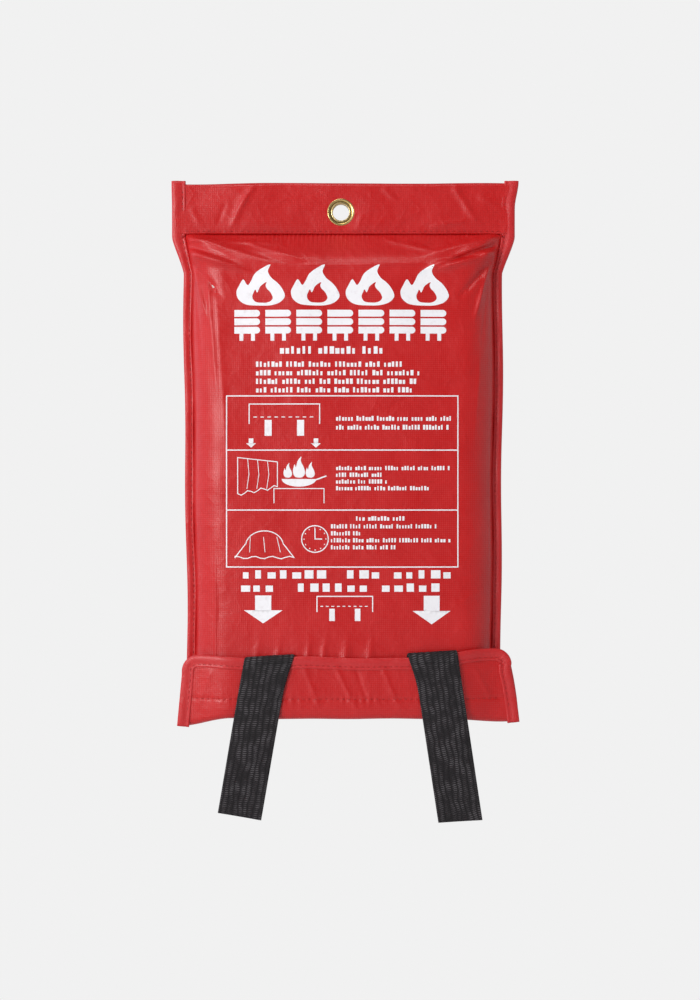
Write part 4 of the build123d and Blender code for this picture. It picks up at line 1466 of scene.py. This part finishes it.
def build_pouch():
    """Everything on the pouch's own body, and the parts of the flap."""
    panel = add(front_panel(), "pouch_cloth", "pouch", "front_panel")
    header = add(header_cloth(), "pouch_cloth", "pouch", "header_band")
    add(back_sheet(), "pouch_cloth", BASE_BEND, "back_panel", "flap_base")
    flap = add(flap_front(), "pouch_cloth", FLAP_BEND, "closing_flap")
    flap_tape = add(flap_binding(), "binding_tape", FLAP_BEND, "flap_binding")
    sides = {}
    for side, word in WORDS.items():
        sides[side] = add(side_binding(side), "binding_tape", "pouch", f"side_binding_{word}")
    stitch_pouch(header, sides)
    stitch_flap(flap, flap_tape)
    add(printed(Surface(panel)), "white_ink", "pouch", "printed_graphics")
    add(pad("loop_strip_pile", "loop_strip", 1.2, panel_depth), "hook_and_loop", "pouch", "loop_strip")

    def behind_flap(x, z):
        return flap_depth(x, z) - CLOTH

    add(pad("hook_strip_pile", "hook_strip", -1.0, behind_flap), "hook_and_loop", "flap", "hook_strip")


def stitch_pouch(header, sides):
    """Stitching of the header and of both side bindings, front and back."""
    row = thread_row("header_thread", Surface(header), straight(-91, SEAM + 1.6, 92, SEAM + 1.6))
    add(row, "red_thread", "pouch", "header_stitching")
    for side, word in WORDS.items():
        heights = np.linspace(MOUTH + 2, HEADER_HIGH[2] - 1, 150)
        path = [(side * (side_edge(side, z) + 0.5 - binding_width(z) + 1.9), z) for z in heights]
        rows = []
        for front in (True, False):
            rows.append(thread_row(f"row_{word}_{front}", Surface(sides[side], front), path))
        thread = join(f"side_binding_{word}_thread", rows)
        add(thread, "red_thread", "pouch", f"side_binding_stitching_{word}")


def stitch_flap(flap, flap_tape):
    """Stitching of the flap's binding and the row that holds the hook strip."""
    inner = [(p[0] + w[0] * 5.2, p[1] + w[1] * 5.2) for p, w in zip(*flap_path())]
    row = thread_row("flap_binding_thread", Surface(flap_tape), inner[6:-6])
    add(row, "red_thread", FLAP_BEND, "flap_binding_stitching")
    row = thread_row("hook_strip_thread", Surface(flap), straight(-84, HOOK_ROW, 90, HOOK_ROW), 2.0, 1.2)
    add(row, "red_thread", FLAP_BEND, "hook_strip_stitching")


def build_blanket():
    """The folded blanket with its hem, the tapes and their bar tacks."""
    surface = Surface(add(blanket_layers(), "glass_cloth", "blanket", "blanket"))
    side, low, high = BLANKET_HIGH[0] - HEM, BLANKET_LOW[2] + HEM, BLANKET_HIGH[2] - HEM
    corners = ((-side, low, -side, high), (side, low, side, high), (-side, low, side, low))
    rows = []
    for number, ends in enumerate(corners):
        rows.append(thread_row(f"hem_{number}", surface, straight(*ends), 2.6, 1.4))
    add(join("blanket_hem_thread", rows), "white_thread", "blanket", "blanket_hem_stitching")
    for word in WORDS.values():
        pull_tape(word)
        add(box_tack(word), "black_thread", "blanket", f"tape_bartack_{word}")


def brass_parts():
    """The eyelet and its washer keep their CAD shape and get a brass finish."""
    for node in ("eyelet", "eyelet_washer"):
        obj = frame["nodes"][node]
        obj.data.materials.clear()
        obj.data.materials.append(LOOKS["brass"])
        obj.data.shade_smooth()


# ---- floor, light and camera ----

BACKDROP = (0.88, 0.88, 0.88, 1)
CAMERA_DISTANCE = 1.0
VIEW_TALL = 0.578      # height of the picture at the wall's plane
VIEW_CENTRE = (0.0052, -0.1659)
FLOOR_HEIGHT = -0.52


def studio_world():
    """Plain backdrop for the camera; for the object a soft room that is brighter on its left."""
    world = bpy.data.worlds.new("studio")
    look = Look(world)
    background = look.tree.nodes["Background"]
    look.put(BACKDROP, background.inputs["Color"])
    side = look.axes(look.coordinates("Generated"))[0] * 0.5 + 0.5
    left = ((0.0, (1.3, 1.25, 1.4)), (0.3, (0.75, 0.72, 0.79)))
    rest = ((0.48, (0.14, 0.14, 0.14)), (0.7, (0.14, 0.14, 0.14)), (1.0, (0.8, 0.8, 0.8)))
    room = look.add("ShaderNodeBackground", [look.ramp(side, *left, *rest)])
    look.for_camera(background.outputs[0], room.outputs[0], "World Output")
    bpy.context.scene.world = world


def pale_floor():
    """Plain pale floor that melts into the backdrop."""
    size = 6.0
    corners = [(-size, -size), (size, -size), (size, size), (-size, size)]
    mesh = bpy.data.meshes.new("floor")
    mesh.from_pydata([(x, y, FLOOR_HEIGHT) for x, y in corners], [], [(0, 1, 2, 3)])
    look = new_look("pale_floor")
    look.shade(Base_Color=BACKDROP, Roughness=0.9)
    glow = look.add("ShaderNodeEmission", [BACKDROP])
    look.for_camera(glow.outputs[0], look.shader.outputs[0], "Material Output")
    mesh.materials.append(look.owner)
    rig.stage(put("floor", mesh))


def light(name, place, size, power, colour):
    """Square soft light that faces the middle of the pouch."""
    data = bpy.data.lights.new(name, "AREA")
    data.size = size
    data.energy = power
    data.color = colour
    lamp = put(name, data)
    lamp.location = place
    lamp.rotation_euler = (Vector((0, 0, -0.15)) - lamp.location).to_track_quat("-Z", "Y").to_euler()


def camera():
    """Camera straight in front of the pouch."""
    data = bpy.data.cameras.new("camera")
    data.sensor_width = 36
    data.lens = data.sensor_width * CAMERA_DISTANCE / VIEW_TALL
    holder = put("camera", data)
    holder.location = (VIEW_CENTRE[0], -CAMERA_DISTANCE, VIEW_CENTRE[1])
    holder.rotation_euler = (math.pi / 2, 0, 0)
    bpy.context.scene.camera = holder


build_pouch()
build_blanket()
brass_parts()
bpy.context.scene.view_settings.view_transform = "Standard"
studio_world()
pale_floor()
light("key", (-0.95, -1.3, 0.1), 0.5, 10, (1.0, 0.99, 0.98))
light("top", (-0.2, -0.7, 1.1), 0.6, 4.5, (1, 1, 1))
camera()

low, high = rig.bounds()
with open("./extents.json", "w") as out:
    json.dump({"cad": [list(CAD_LOW), list(CAD_HIGH)], "visual": [list(low), list(high)]}, out)
